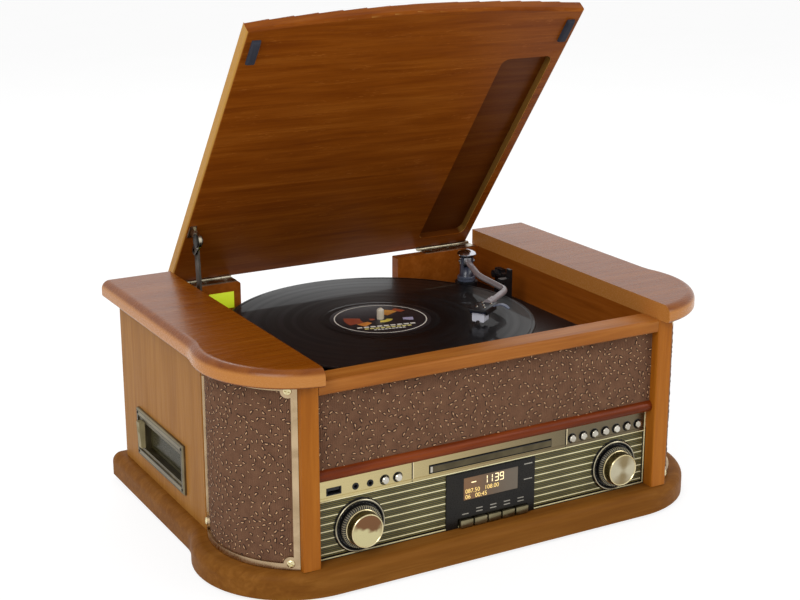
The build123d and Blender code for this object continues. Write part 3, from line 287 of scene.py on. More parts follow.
@dataclass(frozen=True)
class Wood(Finish):
    """Lacquered veneer: broad figure, fine fibres, pores, and satin lacquer, with a painted highlight where
    an edge colour is given and painted shade in the lid's pocket.

    The pocket's sizes are millimetres on the closed lid, its heights above the lid's underside.
    """

    ground: Colour
    shade: Colour
    light: Colour
    grain: Grain
    fleck: float = 0.0
    fleck_colour: Colour = srgb(0xCD965A)
    gloss: float = 0.36
    shine: float = 0.14
    contrast: float = 0.6
    lean: float = 0.0
    seed: float = 0.0
    # edge: painted highlight on faces that turn sideways; with rounded, on every face that turns neither up
    # nor down.
    edge: Colour | None = None
    rounded: bool = False
    pocket: bool = False
    pocket_sides: Pair = (105.9, 164.2)
    pocket_heights: Pair = (0.6, 11.4)
    pocket_front: float = 49.0
    # The pocket's painted shade: how far it darkens the recess, and the colour it darkens to.
    pocket_shade: float = 0.62
    pocket_painted_shade_colour: Colour = srgb(0x3A1C08)

    def fibres(
        self, shader: Shader, across: float, along: float, detail: float, twist: float = 0.0
    ) -> NodeSocket:
        """Noise drawn out along the fibres.

        Args:
            shader: the material that is being made.
            across: features per metre across the fibres.
            along: features per metre along them.
            detail: how many finer layers.
            twist: how far they distort themselves.

        Returns:
            A socket around 0.5.
        """
        scale = [across, across, across]
        scale[self.grain.value] = along
        start = (self.seed, self.seed * 1.7, self.seed * 0.6)
        inputs = {"Vector": self.turned(shader), "Scale": scale, "Location": start}
        return shader.noise(shader.node("ShaderNodeMapping", inputs), detail, twist)

    def turned(self, shader: Shader) -> NodeSocket:
        """Object coordinates in the board's own plane."""
        return shader.place(turn=(self.lean, 0, 0))

    def recess(self, shader: Shader) -> NodeSocket:
        """Find the routed pocket of the lid, which takes painted shade.

        Args:
            shader: the material that is being made.

        Returns:
            The share of painted shade inside it, and nought elsewhere.
        """
        turned = self.turned(shader)
        hinge = TO_FRAME @ Vector((0, *LID_HINGE))
        shift = hinge - Matrix.Rotation(LID_OPEN, 3, "X") @ hinge
        (left, right), (low, high) = self.pocket_sides, self.pocket_heights
        front = (TO_FRAME @ Vector((0, self.pocket_front, 0)) - shift).y
        inside = self.pocket_shade
        for index, test, limit in (
            (2, "GREATER_THAN", (LID_UNDER + low) * MM - shift.z),
            (2, "LESS_THAN", (LID_UNDER + high) * MM - shift.z),
            (0, "GREATER_THAN", left * MM),
            (0, "LESS_THAN", right * MM),
            (1, "GREATER_THAN", front),
        ):
            inside = shader.times(inside, shader.sum(test, shader.axis(turned, index), limit))
        return inside

    def recipe(self, shader: Shader) -> Material:
        """Build the material.

        Args:
            shader: the empty tree that it fills.

        Returns:
            The finished material.
        """
        broad = self.fibres(shader, 42, 4.5, 4.0, 1.4)
        bands = self.fibres(shader, 210, 9, 3.0, 0.8)
        fibre = self.fibres(shader, 900, 26, 2.0, 0.2)
        pore = self.fibres(shader, 1500, 95, 1.0)
        tone = shader.window(shader.weighted(bands, 0.45, broad, 0.55), 0.225, 0.775)
        colour = shader.ramp(tone, (0.0, self.shade), (0.5, self.ground), (1.0, self.light))
        colour = shader.tint(shader.window(fibre, 0.35, 0.66), 0.26 * self.contrast, colour, self.shade)
        holes = shader.window(pore, 0.60, 0.72)
        colour = shader.tint(holes, 0.4 * self.contrast, colour, self.shade)
        if self.fleck:
            spots = shader.window(self.fibres(shader, 1000, 120, 2.0), 0.62, 0.72)
            zone = shader.window(self.fibres(shader, 60, 10, 2.0), 0.45, 0.62)
            colour = shader.tint(shader.times(spots, zone), self.fleck, colour, self.fleck_colour)
        # Painted highlight: the edge colour goes on faces by the way they face.
        if self.edge:
            facing = shader.node("ShaderNodeTexCoord", out="Normal")
            side = shader.sum("ABSOLUTE", shader.axis(facing, 2 if self.rounded else 0))
            side = shader.sum("SUBTRACT", 1.0, side) if self.rounded else side
            colour = shader.blend(shader.window(side, 0.35, 0.8), colour, self.edge)
        # Painted shade darkens the inside of the routed pocket.
        if self.pocket:
            colour = shader.blend(self.recess(shader), colour, self.pocket_painted_shade_colour)
        normal = shader.relief(shader.weighted(holes, -0.7, fibre, 0.6), 0.00006, 0.5)
        rough = shader.window(fibre, 0.3, 0.7, self.gloss - 0.05, self.gloss + 0.07)
        return shader.surface(colour, rough, 0.0, normal, Specular_IOR_Level=self.shine)


@dataclass(frozen=True)
class Metal(Finish):
    """Brushed, cast or polished metal with faint marks of handling."""

    colour: Colour
    second: Colour
    roughness: float
    brushed: Grain | None = None
    scratch: float = 0.35
    fine: float = 1800.0
    drawn: float = 25.0

    def recipe(self, shader: Shader) -> Material:
        """Build the material.

        Args:
            shader: the empty tree that it fills.

        Returns:
            The finished material.
        """
        scale = [self.fine] * 3
        if self.brushed:
            scale[self.brushed.value] = self.drawn
        lines = shader.noise(shader.place(tuple(scale)), 2.0)
        cloud = shader.clouds(45, 3.0, 0.5)
        colour = shader.blend(shader.window(cloud, 0.3, 0.7), self.second, self.colour)
        low, high = self.roughness - 0.06, self.roughness + 0.10
        rough = shader.window(shader.weighted(lines, 0.5, cloud, 0.5), 0.3, 0.7, low, high)
        return shader.surface(colour, rough, 1.0, shader.relief(lines, 0.00001, self.scratch))


@dataclass(frozen=True)
class Plastic(Finish):
    """Moulded plastic, rubber or card with a fine grain."""

    colour: Colour = srgb(0x1E1E20)
    second: Colour = srgb(0x161618)
    roughness: float = 0.4
    grain: float = 1400.0
    depth: float = 0.00003
    coat: float = 0.0
    shine: float = 0.35

    def recipe(self, shader: Shader) -> Material:
        """Build the material.

        Args:
            shader: the empty tree that it fills.

        Returns:
            The finished material.
        """
        grains = shader.clouds(self.grain)
        colour = shader.blend(shader.window(shader.clouds(30, 4.0), 0.35, 0.65), self.second, self.colour)
        rough = shader.window(grains, 0.3, 0.7, self.roughness - 0.06, self.roughness + 0.08)
        normal = shader.relief(grains, self.depth, 0.6)
        fixed = {"Coat_Weight": self.coat, "Coat_Roughness": 0.05, "Specular_IOR_Level": self.shine}
        return shader.surface(colour, rough, 0.0, normal, **fixed)


@dataclass(frozen=True)
class SpunMetalPaintedReflection(Finish):
    """Turned cap: lathe rings in its roughness, and a painted reflection of light and dark lobes that sweep
    round its middle.
    """

    centre: Pair
    reflection_fans: int
    lean: float
    pale: Colour = srgb(0xC6BC8E)
    dark: Colour = srgb(0x76543A)
    edges: Pair = (0.1, 0.34)

    def recipe(self, shader: Shader) -> Material:
        """Build the material.

        Args:
            shader: the empty tree that it fills.

        Returns:
            The finished material.
        """
        here = shader.place(shift=(-self.centre[0], 0, -self.centre[1]))
        x, z = shader.axis(here, 0), shader.axis(here, 2)
        angle = shader.sum("ADD", shader.sum("ARCTAN2", z, x), self.lean)
        radius = shader.sum("SQRT", shader.sum("ADD", shader.times(x, x), shader.times(z, z)))
        # Painted reflection: cosine lobes round the middle turn pale and dark, fading out within 6 mm of the
        # centre.
        wave = shader.sum("COSINE", shader.times(angle, float(self.reflection_fans)))
        wave = shader.times(wave, shader.window(radius, 0.0, 0.006))
        tone = shader.weighted(shader.clouds(110), 0.5, wave, 0.4)
        colour = shader.blend(shader.window(tone, *self.edges), self.dark, self.pale)
        rings = shader.rings(radius, 2600.0, 2.0)
        rough = shader.window(rings, 0.3, 0.7, 0.12, 0.22)
        return shader.surface(colour, rough, 1.0, shader.relief(rings, 0.00001, 0.3))


@dataclass(frozen=True)
class PanelSheet(Finish):
    """Pressed front: champagne strip with a painted reflection from pale at its left to dark at its right,
    olive-black field, pale raised borders.
    """

    strip_z: float = 0.0806
    bead_y: float = -0.15318
    divider_z: float = 0.0838

    def recipe(self, shader: Shader) -> Material:
        """Build the material.

        Args:
            shader: the empty tree that it fills.

        Returns:
            The finished material.
        """
        here = shader.place()
        x, y, z = (shader.axis(here, i) for i in range(3))
        lines = shader.noise(shader.place((14, 300, 2600)), 2.0)
        # Painted reflection: the strip runs from pale at its left end to dark brown at its right.
        across = shader.window(x, -0.16, 0.13)
        stops = (0.0, srgb(0xD0C08C)), (0.5, srgb(0xA4926C)), (1.0, srgb(0x685E4C))
        warm = shader.ramp(across, *stops)
        strip = shader.tint(lines, 0.3, warm, srgb(0x686048))
        upper = shader.sum("GREATER_THAN", z, self.strip_z)
        field = shader.blend(shader.window(lines, 0.3, 0.7), srgb(0x1E1E12), srgb(0x302F1C))
        colour = shader.blend(upper, field, strip)
        raised = shader.sum("LESS_THAN", y, self.bead_y)
        bead = shader.times(raised, shader.sum("GREATER_THAN", z, self.divider_z))
        colour = shader.blend(bead, colour, srgb(0xE2D2AA))
        shiny = shader.sum("MAXIMUM", upper, bead)
        rough = shader.between(shiny, 0.42, shader.window(lines, 0.3, 0.7, 0.24, 0.36))
        metallic = shader.between(shiny, 0.0, 1.0)
        return shader.surface(colour, rough, metallic, shader.relief(lines, 0.00001, 0.4))


@dataclass(frozen=True)
class Weave(Finish):
    """Speaker cloth: ribbed threads with a soft sheen."""

    thread: Colour = srgb(0x70503C)
    dark: Colour = srgb(0x583C2C)
    pale: Colour = srgb(0x805E46)

    def flat(self, shader: Shader) -> NodeSocket:
        """Coordinates on the cloth as it lay flat."""
        return shader.node("ShaderNodeAttribute", out="Vector", attribute_name="cloth")

    def threads(
        self, shader: Shader, direction: str, scale: float, twist: float, detail: float
    ) -> NodeSocket:
        """Parallel threads, as many per metre as scale says, across X or Y of the flat cloth."""
        inputs = {"Vector": self.flat(shader), "Scale": scale, "Distortion": twist, "Detail": detail}
        return shader.node("ShaderNodeTexWave", inputs, bands_direction=direction)

    def recipe(self, shader: Shader) -> Material:
        """Build the material.

        Args:
            shader: the empty tree that it fills.

        Returns:
            The finished material.
        """
        weft = self.threads(shader, "Y", 520.0, 1.5, 2.0)
        warp = self.threads(shader, "X", 175.0, 0.6, 1.0)
        cloud = shader.noise(self.flat(shader), 4.0, scale=90.0)
        fuzz = shader.noise(self.flat(shader), 2.0, scale=1600.0)
        tone = shader.weighted(fuzz, 0.6, cloud, 0.4)
        colour = shader.ramp(tone, (0.34, self.dark), (0.5, self.thread), (0.66, self.pale))
        colour = shader.tint(shader.sum("SUBTRACT", 1.0, warp), 0.16, colour, self.dark)
        normal = shader.relief(shader.weighted(weft, 0.4, fuzz, 0.6), 0.00012, 0.7)
        return shader.surface(colour, 0.85, 0.0, normal, Specular_IOR_Level=0.15)


@dataclass(frozen=True)
class Nub(Finish):
    """The cloth's raised commas: a painted highlight on their tops and painted shade at their foot, with a
    random worn tint.
    """

    def recipe(self, shader: Shader) -> Material:
        """Build the material.

        Args:
            shader: the empty tree that it fills.

        Returns:
            The finished material.
        """
        rise = shader.node("ShaderNodeAttribute", out="Fac", attribute_name="rise")
        fuzz = shader.clouds(1500)
        # Painted light by rise: painted shade at the foot, painted highlight on the top; fuzz adds a random
        # worn tint.
        stops = (0.3, srgb(0x2E1A11)), (0.52, srgb(0x543422)), (0.84, srgb(0xE4B88A))
        painted_light_and_wear = shader.tint(fuzz, 0.16, shader.ramp(rise, *stops), srgb(0x60422E))
        return shader.surface(painted_light_and_wear, 0.6, 0.0, shader.relief(fuzz, 0.0001, 0.5), Specular_IOR_Level=0.2)


@dataclass(frozen=True)
class Vinyl(Finish):
    """Pressed record: fine rings, wider bands between tracks with a faint painted sheen in their colour,
    glossy top.
    """

    centre: Pair = (-0.0163, 0.02072)

    def recipe(self, shader: Shader) -> Material:
        """Build the material.

        Args:
            shader: the empty tree that it fills.

        Returns:
            The finished material.
        """
        here = shader.place(shift=(-self.centre[0], -self.centre[1], 0))
        x, y = shader.axis(here, 0), shader.axis(here, 1)
        flat = shader.vector(X=x, Y=y)
        radius = shader.node("ShaderNodeVectorMath", {0: flat}, out="Value", operation="LENGTH")
        rings = shader.rings(radius, 900.0, 3.0)
        # The bands change roughness, and their slightly lighter colour is a painted sheen.
        band = shader.window(shader.rings(radius, 85.0, 1.0), 0.4, 0.6)
        colour = shader.blend(band, srgb(0x0B0B0C), srgb(0x101011))
        rough = shader.sum("ADD", shader.between(band, 0.34, 0.42), shader.times(rings, 0.08))
        across = shader.vector(X=shader.times(y, -1.0), Y=x)
        fixed = {"Tangent": shader.node("ShaderNodeVectorMath", {0: across}, operation="NORMALIZE")}
        fixed |= {"Anisotropic": 0.5, "Specular_IOR_Level": 0.12, "Coat_Weight": 0.18, "Coat_Roughness": 0.03}
        return shader.surface(colour, rough, 0.0, shader.relief(rings, 0.00002, 0.25), **fixed)


@dataclass(frozen=True)
class Smoke(Finish):
    """Dark see-through plastic."""

    colour: Colour = srgb(0x3E3A20)

    def recipe(self, shader: Shader) -> Material:
        """Build the material.

        Args:
            shader: the empty tree that it fills.

        Returns:
            The finished material.
        """
        cloud = shader.clouds(60, 3.0)
        rough = shader.window(cloud, 0.3, 0.7, 0.08, 0.2)
        deep = shader.blend(cloud, self.colour, srgb(0x2E2A16))
        return shader.surface(deep, rough, Transmission_Weight=0.2, IOR=1.49, Specular_IOR_Level=0.1)


@dataclass(frozen=True)
class Glow(Finish):
    """Lit figures of the display, or a painted glow that brightens a paper tag."""

    colour: Colour
    strength: float
    second: Colour = srgb(0xFFBE5A)

    def recipe(self, shader: Shader) -> Material:
        """Build the material."""
        colour = shader.tint(shader.clouds(160), 0.35, self.colour, self.second)
        return shader.surface(colour, Emission_Color=colour, Emission_Strength=self.strength)


@dataclass(frozen=True)
class DisplayPane(Finish):
    """The lit window behind the digits, warm at its left and grey-brown at its right."""

    def recipe(self, shader: Shader) -> Material:
        """Build the material.

        Args:
            shader: the empty tree that it fills.

        Returns:
            The finished material.
        """
        across = shader.window(shader.axis(shader.place(), 0), -0.028, 0.031)
        stops = (0.0, srgb(0x704E2C)), (0.45, srgb(0x5C4834)), (1.0, srgb(0x5C5244))
        warm = shader.ramp(across, *stops)
        colour = shader.tint(shader.clouds(900), 0.25, warm, srgb(0x3C3024))
        return shader.surface(colour, 0.3, Emission_Color=colour, Emission_Strength=0.35)


SIDE_WOOD = Wood(
    "side_wood", srgb(0xA06C2E), srgb(0x925F24), srgb(0xAC7838), Grain.UPRIGHT, shine=0.05,
)
PILLAR_WOOD = Wood(
    "pillar_wood", srgb(0xA45F16), srgb(0x945210), srgb(0xB46E20), Grain.UPRIGHT, seed=3.0,
)
BASE_WOOD = Wood(
    "base_wood", srgb(0x80501C), srgb(0x704214), srgb(0x905E26), Grain.ACROSS,
    gloss=0.5, shine=0.05, contrast=0.4, seed=7.0,
)
# The cap's edge colour is a painted highlight on its rounded nose.
CAP_WOOD = Wood(
    "cap_wood", srgb(0x82440A), srgb(0x743907), srgb(0x905010), Grain.ACROSS,
    gloss=0.24, shine=0.24, contrast=0.25, seed=11.0, edge=srgb(0xBA7A3A), rounded=True,
)
RAIL_WOOD = Wood(
    "rail_wood", srgb(0xA26124), srgb(0x8C4F1A), srgb(0xB47332), Grain.ACROSS, seed=13.0,
)
WELL_WOOD = Wood(
    "well_wood", srgb(0x944E14), srgb(0x80400C), srgb(0xA65C20), Grain.DEEP, seed=17.0, shine=0.08,
)
MOULDING_WOOD = Wood(
    "moulding_wood", srgb(0x74300E), srgb(0x501F08), srgb(0x904418), Grain.ACROSS,
    gloss=0.28, shine=0.12, seed=19.0,
)
REAR_WOOD = Wood(
    "rear_wood", srgb(0x785434), srgb(0x644428), srgb(0x8A6440), Grain.ACROSS, gloss=0.6,
)
# The lid's edge colour is a painted highlight on its side edges; its pocket takes painted shade.
LID_WOOD = Wood(
    "lid_wood", srgb(0x88460C), srgb(0x703406), srgb(0x9C5818), Grain.ACROSS,
    fleck=0.4, fleck_colour=srgb(0xBA7634), shine=0.08, contrast=0.85, lean=LID_OPEN, seed=23.0,
    edge=srgb(0xC08E42), pocket=True,
)
TRIM = Metal("trim_champagne", srgb(0xC4AC8A), srgb(0xA89070), 0.26, Grain.UPRIGHT)
BRASS = Metal("brass", srgb(0xBAA262), srgb(0x98804A), 0.24)
SCREW_CREAM = Metal("screw_cream", srgb(0xF0E6BA), srgb(0xD6C89A), 0.24)
DARK_SCREW = Metal("blackened_screw", srgb(0x302C26), srgb(0x201E1A), 0.4)
NICKEL = Metal("nickel", srgb(0xB4AC98), srgb(0x88806C), 0.24)
STAY_GREY = Metal("stay_grey", srgb(0x625C54), srgb(0x48423A), 0.3)
CHROME = Metal("chrome", srgb(0xD7DAE2), srgb(0xBEC2CC), 0.1, scratch=0.1)
STEEL = Metal("steel", srgb(0xA0A0A2), srgb(0x78787A), 0.35)
SILVER_RIM = Metal("silver_rim", srgb(0xBEB69E), srgb(0x968E76), 0.22)
PEWTER = Metal("pewter", srgb(0x867C62), srgb(0x6C624C), 0.36)
KEY_METAL = Metal("key_pewter", srgb(0x8C8366), srgb(0x70684E), 0.32, Grain.ACROSS)
BUTTON_SILVER = Metal("button_silver", srgb(0xCECABE), srgb(0xAAA496), 0.16)
BAR_GREY = Metal("tray_bar", srgb(0x625944), srgb(0x4E4736), 0.38, Grain.ACROSS)
BAR_CREAM = Plastic("bar_cream", srgb(0xF2EABC), srgb(0xE4DAAA), 0.35, shine=0.15)
LINE_OLIVE = Plastic("line_olive", srgb(0x7E743E), srgb(0x6A6030), 0.45, shine=0.08)
KNOB_GOLD = Metal("knob_gold", srgb(0xDED0A6), srgb(0xC4B488), 0.16)
KNOB_OLIVE = Metal("knob_olive", srgb(0x7A6E4A), srgb(0x5C5236), 0.26)
TOOTH_GREY = Plastic("tooth_grey", srgb(0xA8A086), srgb(0x8A826A), 0.35)
BLACK_PLASTIC = Plastic("black_plastic")
DECK_BLACK = Plastic("deck_black", srgb(0x1A1A1D), srgb(0x121214), 0.38)
DIAL_BLACK = Plastic("dial_black", srgb(0x181715), srgb(0x11100F), 0.34)
FIELD_BLACK = Plastic("field_black", srgb(0x1E1B16), srgb(0x161411), 0.3, shine=0.2)
RUBBER = Plastic("rubber", srgb(0x1C1C1C), srgb(0x141414), 0.75, depth=0.00008)
BOARD_GREEN = Plastic("board_green", srgb(0x225430), srgb(0x184226), 0.45, grain=500.0)
IVORY = Plastic("ivory_key", srgb(0xA09470), srgb(0x8A7E5C), 0.45, shine=0.15)
SMOKE_RIB = Plastic("smoke_rib", srgb(0x54503A), srgb(0x423E2C), 0.3)
SPINDLE_IVORY = Plastic("spindle_ivory", srgb(0xD6CCB8), srgb(0xBAB09C), 0.25, coat=0.4)
WHITE_SHELL = Plastic("cartridge_white", srgb(0xDEDEE8), srgb(0xC8CAD6), 0.35)
BLUE_SHELL = Plastic("cartridge_blue", srgb(0x303452), srgb(0x222640), 0.35)
PHONO_RED = Plastic("phono_red", srgb(0xAA1E1C), srgb(0x8C1616), 0.4)
ARM_GREY = Plastic("arm_grey", srgb(0x9C9294), srgb(0x867E80), 0.3, coat=0.3)
LIFT_GREY = Plastic("lift_grey", srgb(0x767C8E), srgb(0x606678), 0.35)
PIVOT_BODY = Plastic("pivot_body", srgb(0x3A3E4E), srgb(0x2A2E3C), 0.3, coat=0.3)
PIVOT_FOOT = Plastic("pivot_foot", srgb(0x5C6272), srgb(0x484E5E), 0.3, coat=0.3)
PAPER_CONE = Plastic("speaker_cone", srgb(0x282624), srgb(0x1E1C1B), 0.8, grain=700.0, depth=0.0001)
# The paper tag glows with painted light, though it is no lamp.
TAG_PAPER_PAINTED_GLOW = Glow("tag_paper", srgb(0xCEE028), 0.3, srgb(0xC4D61E))
FELT = Plastic("felt", srgb(0x32343E), srgb(0x282A34), 0.95, grain=2200.0, depth=0.00025)
CAPTION = Plastic("caption_print", srgb(0xB0ACA0), srgb(0x9C988C), 0.6)
LABEL_DARK = Plastic("label_dark", srgb(0x222024), srgb(0x1A191C), 0.4)
LABEL_PALE = Plastic("label_pale", srgb(0xE8E4D8), srgb(0xD4D0C4), 0.5)
LABEL_STRAW = Plastic("label_straw", srgb(0xE8DC8C), srgb(0xD4C878), 0.5)
LABEL_YELLOW = Plastic("label_yellow", srgb(0xE2CE5C), srgb(0xC8B44A), 0.5)
LABEL_OCHRE = Plastic("label_ochre", srgb(0xCE923E), srgb(0xB07028), 0.5)
LABEL_AMBER = Plastic("label_amber", srgb(0xD68E3A), srgb(0xBA6C28), 0.5)
LABEL_RUST = Plastic("label_rust", srgb(0xA8522E), srgb(0x8A3C22), 0.5)
LABEL_LILAC = Plastic("label_lilac", srgb(0xBAB4CE), srgb(0xA49EBA), 0.5)
WARM_WHITE = Glow("warm_white", srgb(0xFFECBE), 1.0)
AMBER = Glow("amber", srgb(0xE8CC7C), 0.75)


# ---- Shapes ----------------------------------------------
def rounded(part: bmesh.types.BMesh, edges: Iterable[bmesh.types.BMEdge], radius: float) -> None:
    """Round edges off in two steps."""
    bmesh.ops.bevel(part, geom=list(edges), offset=radius, segments=2, profile=0.5, affect="EDGES")


class Shape:
    """Mesh of one piece. Parts are added in millimetres, each with its own finish."""

    def __init__(self, name: str) -> None:
        """Start an empty mesh.

        Args:
            name: of the piece.
        """
        self.name = name
        self.bm = bmesh.new()
        self.finishes: list[Finish] = []

    def join(self, part: bmesh.types.BMesh, finish: Finish, place: Matrix) -> "Shape":
        """Move and dress a closed part and add it.

        Args:
            part: its own mesh, used up here.
            finish: what it is made of.
            place: where it goes.

        Returns:
            This shape.
        """
        if finish not in self.finishes:
            self.finishes.append(finish)
        part.transform(place)
        for face in part.faces:
            face.material_index = self.finishes.index(finish)
            face.smooth = True
        bmesh.ops.recalc_face_normals(part, faces=part.faces)
        data = bpy.data.meshes.new("part")
        part.to_mesh(data)
        part.free()
        self.bm.from_mesh(data)
        bpy.data.meshes.remove(data)
        return self

    def lathe(
        self, profile: list[Pair], finish: Finish,
        place: Matrix = Matrix(), steps: int = 64, ring: bool = False,
    ) -> "Shape":
        """Turn an outline round Z.

        Args:
            profile: radius and height of each point.
            finish: what it is made of.
            place: where it goes.
            steps: sides of the turning.
            ring: whether the outline closes on itself.

        Returns:
            This shape.
        """
        part = bmesh.new()
        rows = []
        for radius, height in profile:
            turns = [2 * math.pi * i / steps for i in range(steps if radius else 1)]
            rows.append([part.verts.new((*polar(radius, turn), height)) for turn in turns])
        pairs = list(zip(rows, rows[1:] + rows[:1]))
        for low, high in pairs if ring else pairs[:-1]:
            for i in range(steps):
                corners = ((low, i), (low, i + 1), (high, i + 1), (high, i))
                unique = list(dict.fromkeys(row[k % len(row)] for row, k in corners))
                if len(unique) > 2:
                    part.faces.new(unique)
        return self.join(part, finish, place)

    def block(
        self, low: Point, high: Point, finish: Finish, round_by: float = 0.0, place: Matrix = Matrix()
    ) -> "Shape":
        """Add a box with rounded edges.

        Args:
            low: lowest corner.
            high: highest corner.
            finish: what it is made of.
            round_by: radius of its edges.
            place: where it goes.

        Returns:
            This shape.
        """
        part = bmesh.new()
        size = [b - a for a, b in zip(low, high)]
        middle = [(a + b) / 2 for a, b in zip(low, high)]
        bmesh.ops.create_cube(part, size=1, matrix=Matrix.Translation(middle) @ Matrix.Diagonal((*size, 1)))
        if round_by:
            rounded(part, part.edges, round_by)
        return self.join(part, finish, place)

    def prism(
        self, outline: list[Pair], depth: float, finish: Finish,
        place: Matrix = Matrix(), round_by: float = 0.0,
    ) -> "Shape":
        """Add a plate from a flat outline, from z = 0 to depth.

        Args:
            outline: corners in X and Y.
            depth: thickness.
            finish: what it is made of.
            place: where it goes.
            round_by: radius of the upper edge.

        Returns:
            This shape.
        """
        part = bmesh.new()
        low = [part.verts.new((x, y, 0)) for x, y in outline]
        high = [part.verts.new((x, y, depth)) for x, y in outline]
        part.faces.new(low[::-1])
        top = part.faces.new(high)
        for i in range(len(outline)):
            j = (i + 1) % len(outline)
            part.faces.new((low[i], low[j], high[j], high[i]))
        if round_by:
            rounded(part, top.edges, round_by)
        return self.join(part, finish, place)

    def sweep(
        self, line: list[Vector], sections: list[list[Pair]], finish: Finish, place: Matrix = Matrix()
    ) -> "Shape":
        """Sweep a section along a line and close its ends.

        Args:
            line: points of the line.
            sections: the section at each point, or one for all, as places to the right and up.
            finish: what it is made of.
            place: where it goes.

        Returns:
            This shape.
        """
        part = bmesh.new()
        rows = []
        for i, point in enumerate(line):
            ahead = (line[min(i + 1, len(line) - 1)] - line[max(i - 1, 0)]).normalized()
            right = ahead.cross(Vector((0, 0, 1))).normalized()
            up = right.cross(ahead)
            section = sections[min(i, len(sections) - 1)]
            rows.append([part.verts.new(point + x * right + y * up) for x, y in section])
        for low, high in zip(rows, rows[1:]):
            for k in range(len(low)):
                j = (k + 1) % len(low)
                part.faces.new((low[k], low[j], high[j], high[k]))
        part.faces.new(rows[0][::-1])
        part.faces.new(rows[-1])
        return self.join(part, finish, place)

    def tube(self, line: list[Vector], radius: float, finish: Finish, sides: int) -> "Shape":
        """Sweep a round section along a line."""
        turns = [2 * math.pi * k / sides for k in range(sides)]
        return self.sweep(line, [[polar(radius, turn) for turn in turns]], finish)

    def mesh(self, sharp: float = 35.0, place: Matrix = TO_FRAME) -> Object:
        """Make the object.

        Args:
            sharp: edges that turn more than this, in degrees, stay crisp.
            place: from the shape's millimetres to the frame.

        Returns:
            The new object, at the origin.
        """
        for edge in self.bm.edges:
            if len(edge.link_faces) == 2 and math.degrees(edge.calc_face_angle(0)) > sharp:
                edge.smooth = False
        self.bm.transform(place)
        data = bpy.data.meshes.new(self.name)
        self.bm.to_mesh(data)
        self.bm.free()
        for finish in self.finishes:
            data.materials.append(finish.material())
        return linked(self.name, data)

    def piece(self, body: str, replaces: tuple[str, ...] = (), slot: str = "", sharp: float = 35.0) -> Object:
        """Make the object and settle it on its body, as settle() says."""
        return settle(self.mesh(sharp), body, replaces)


def linked(name: str, data: ID) -> Object:
    """Put a mesh, curve, lamp or camera into the scene.

    Args:
        name: of the object.
        data: what it shows.

    Returns:
        The new object.
    """
    made = bpy.data.objects.new(name, data)
    bpy.context.scene.collection.objects.link(made)
    return made


def evaluated(holder: Object) -> Mesh:
    """An object's mesh with its modifiers or its text applied."""
    graph = bpy.context.evaluated_depsgraph_get()
    return bpy.data.meshes.new_from_object(holder.evaluated_get(graph))


def apply(piece: Object) -> None:
    """Turn a piece's modifiers into plain mesh.

    Args:
        piece: the object with the modifiers.
    """
    data = evaluated(piece)
    piece.modifiers.clear()
    piece.data = data


def settle(piece: Object, body: str, replaces: tuple[str, ...] = ()) -> Object:
    """Let a finished object ride on its body.

    Args:
        piece: the object.
        body: the CAD body.
        replaces: CAD nodes that it stands for.

    Returns:
        The same object.
    """
    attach(piece, body)
    if replaces:
        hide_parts(*replaces)
    LOG.info("%s on %s, %d faces", piece.name, body, len(piece.data.polygons))
    return piece


def dress(finish: Finish, *nodes: str) -> None:
    """Give CAD nodes their finish.

    Args:
        finish: what they are made of.
        nodes: names of the nodes.
    """
    for name in nodes:
        for slot in NODES[name].material_slots:
            slot.material = finish.material()
        LOG.info("%s dressed in %s", name, finish.name)


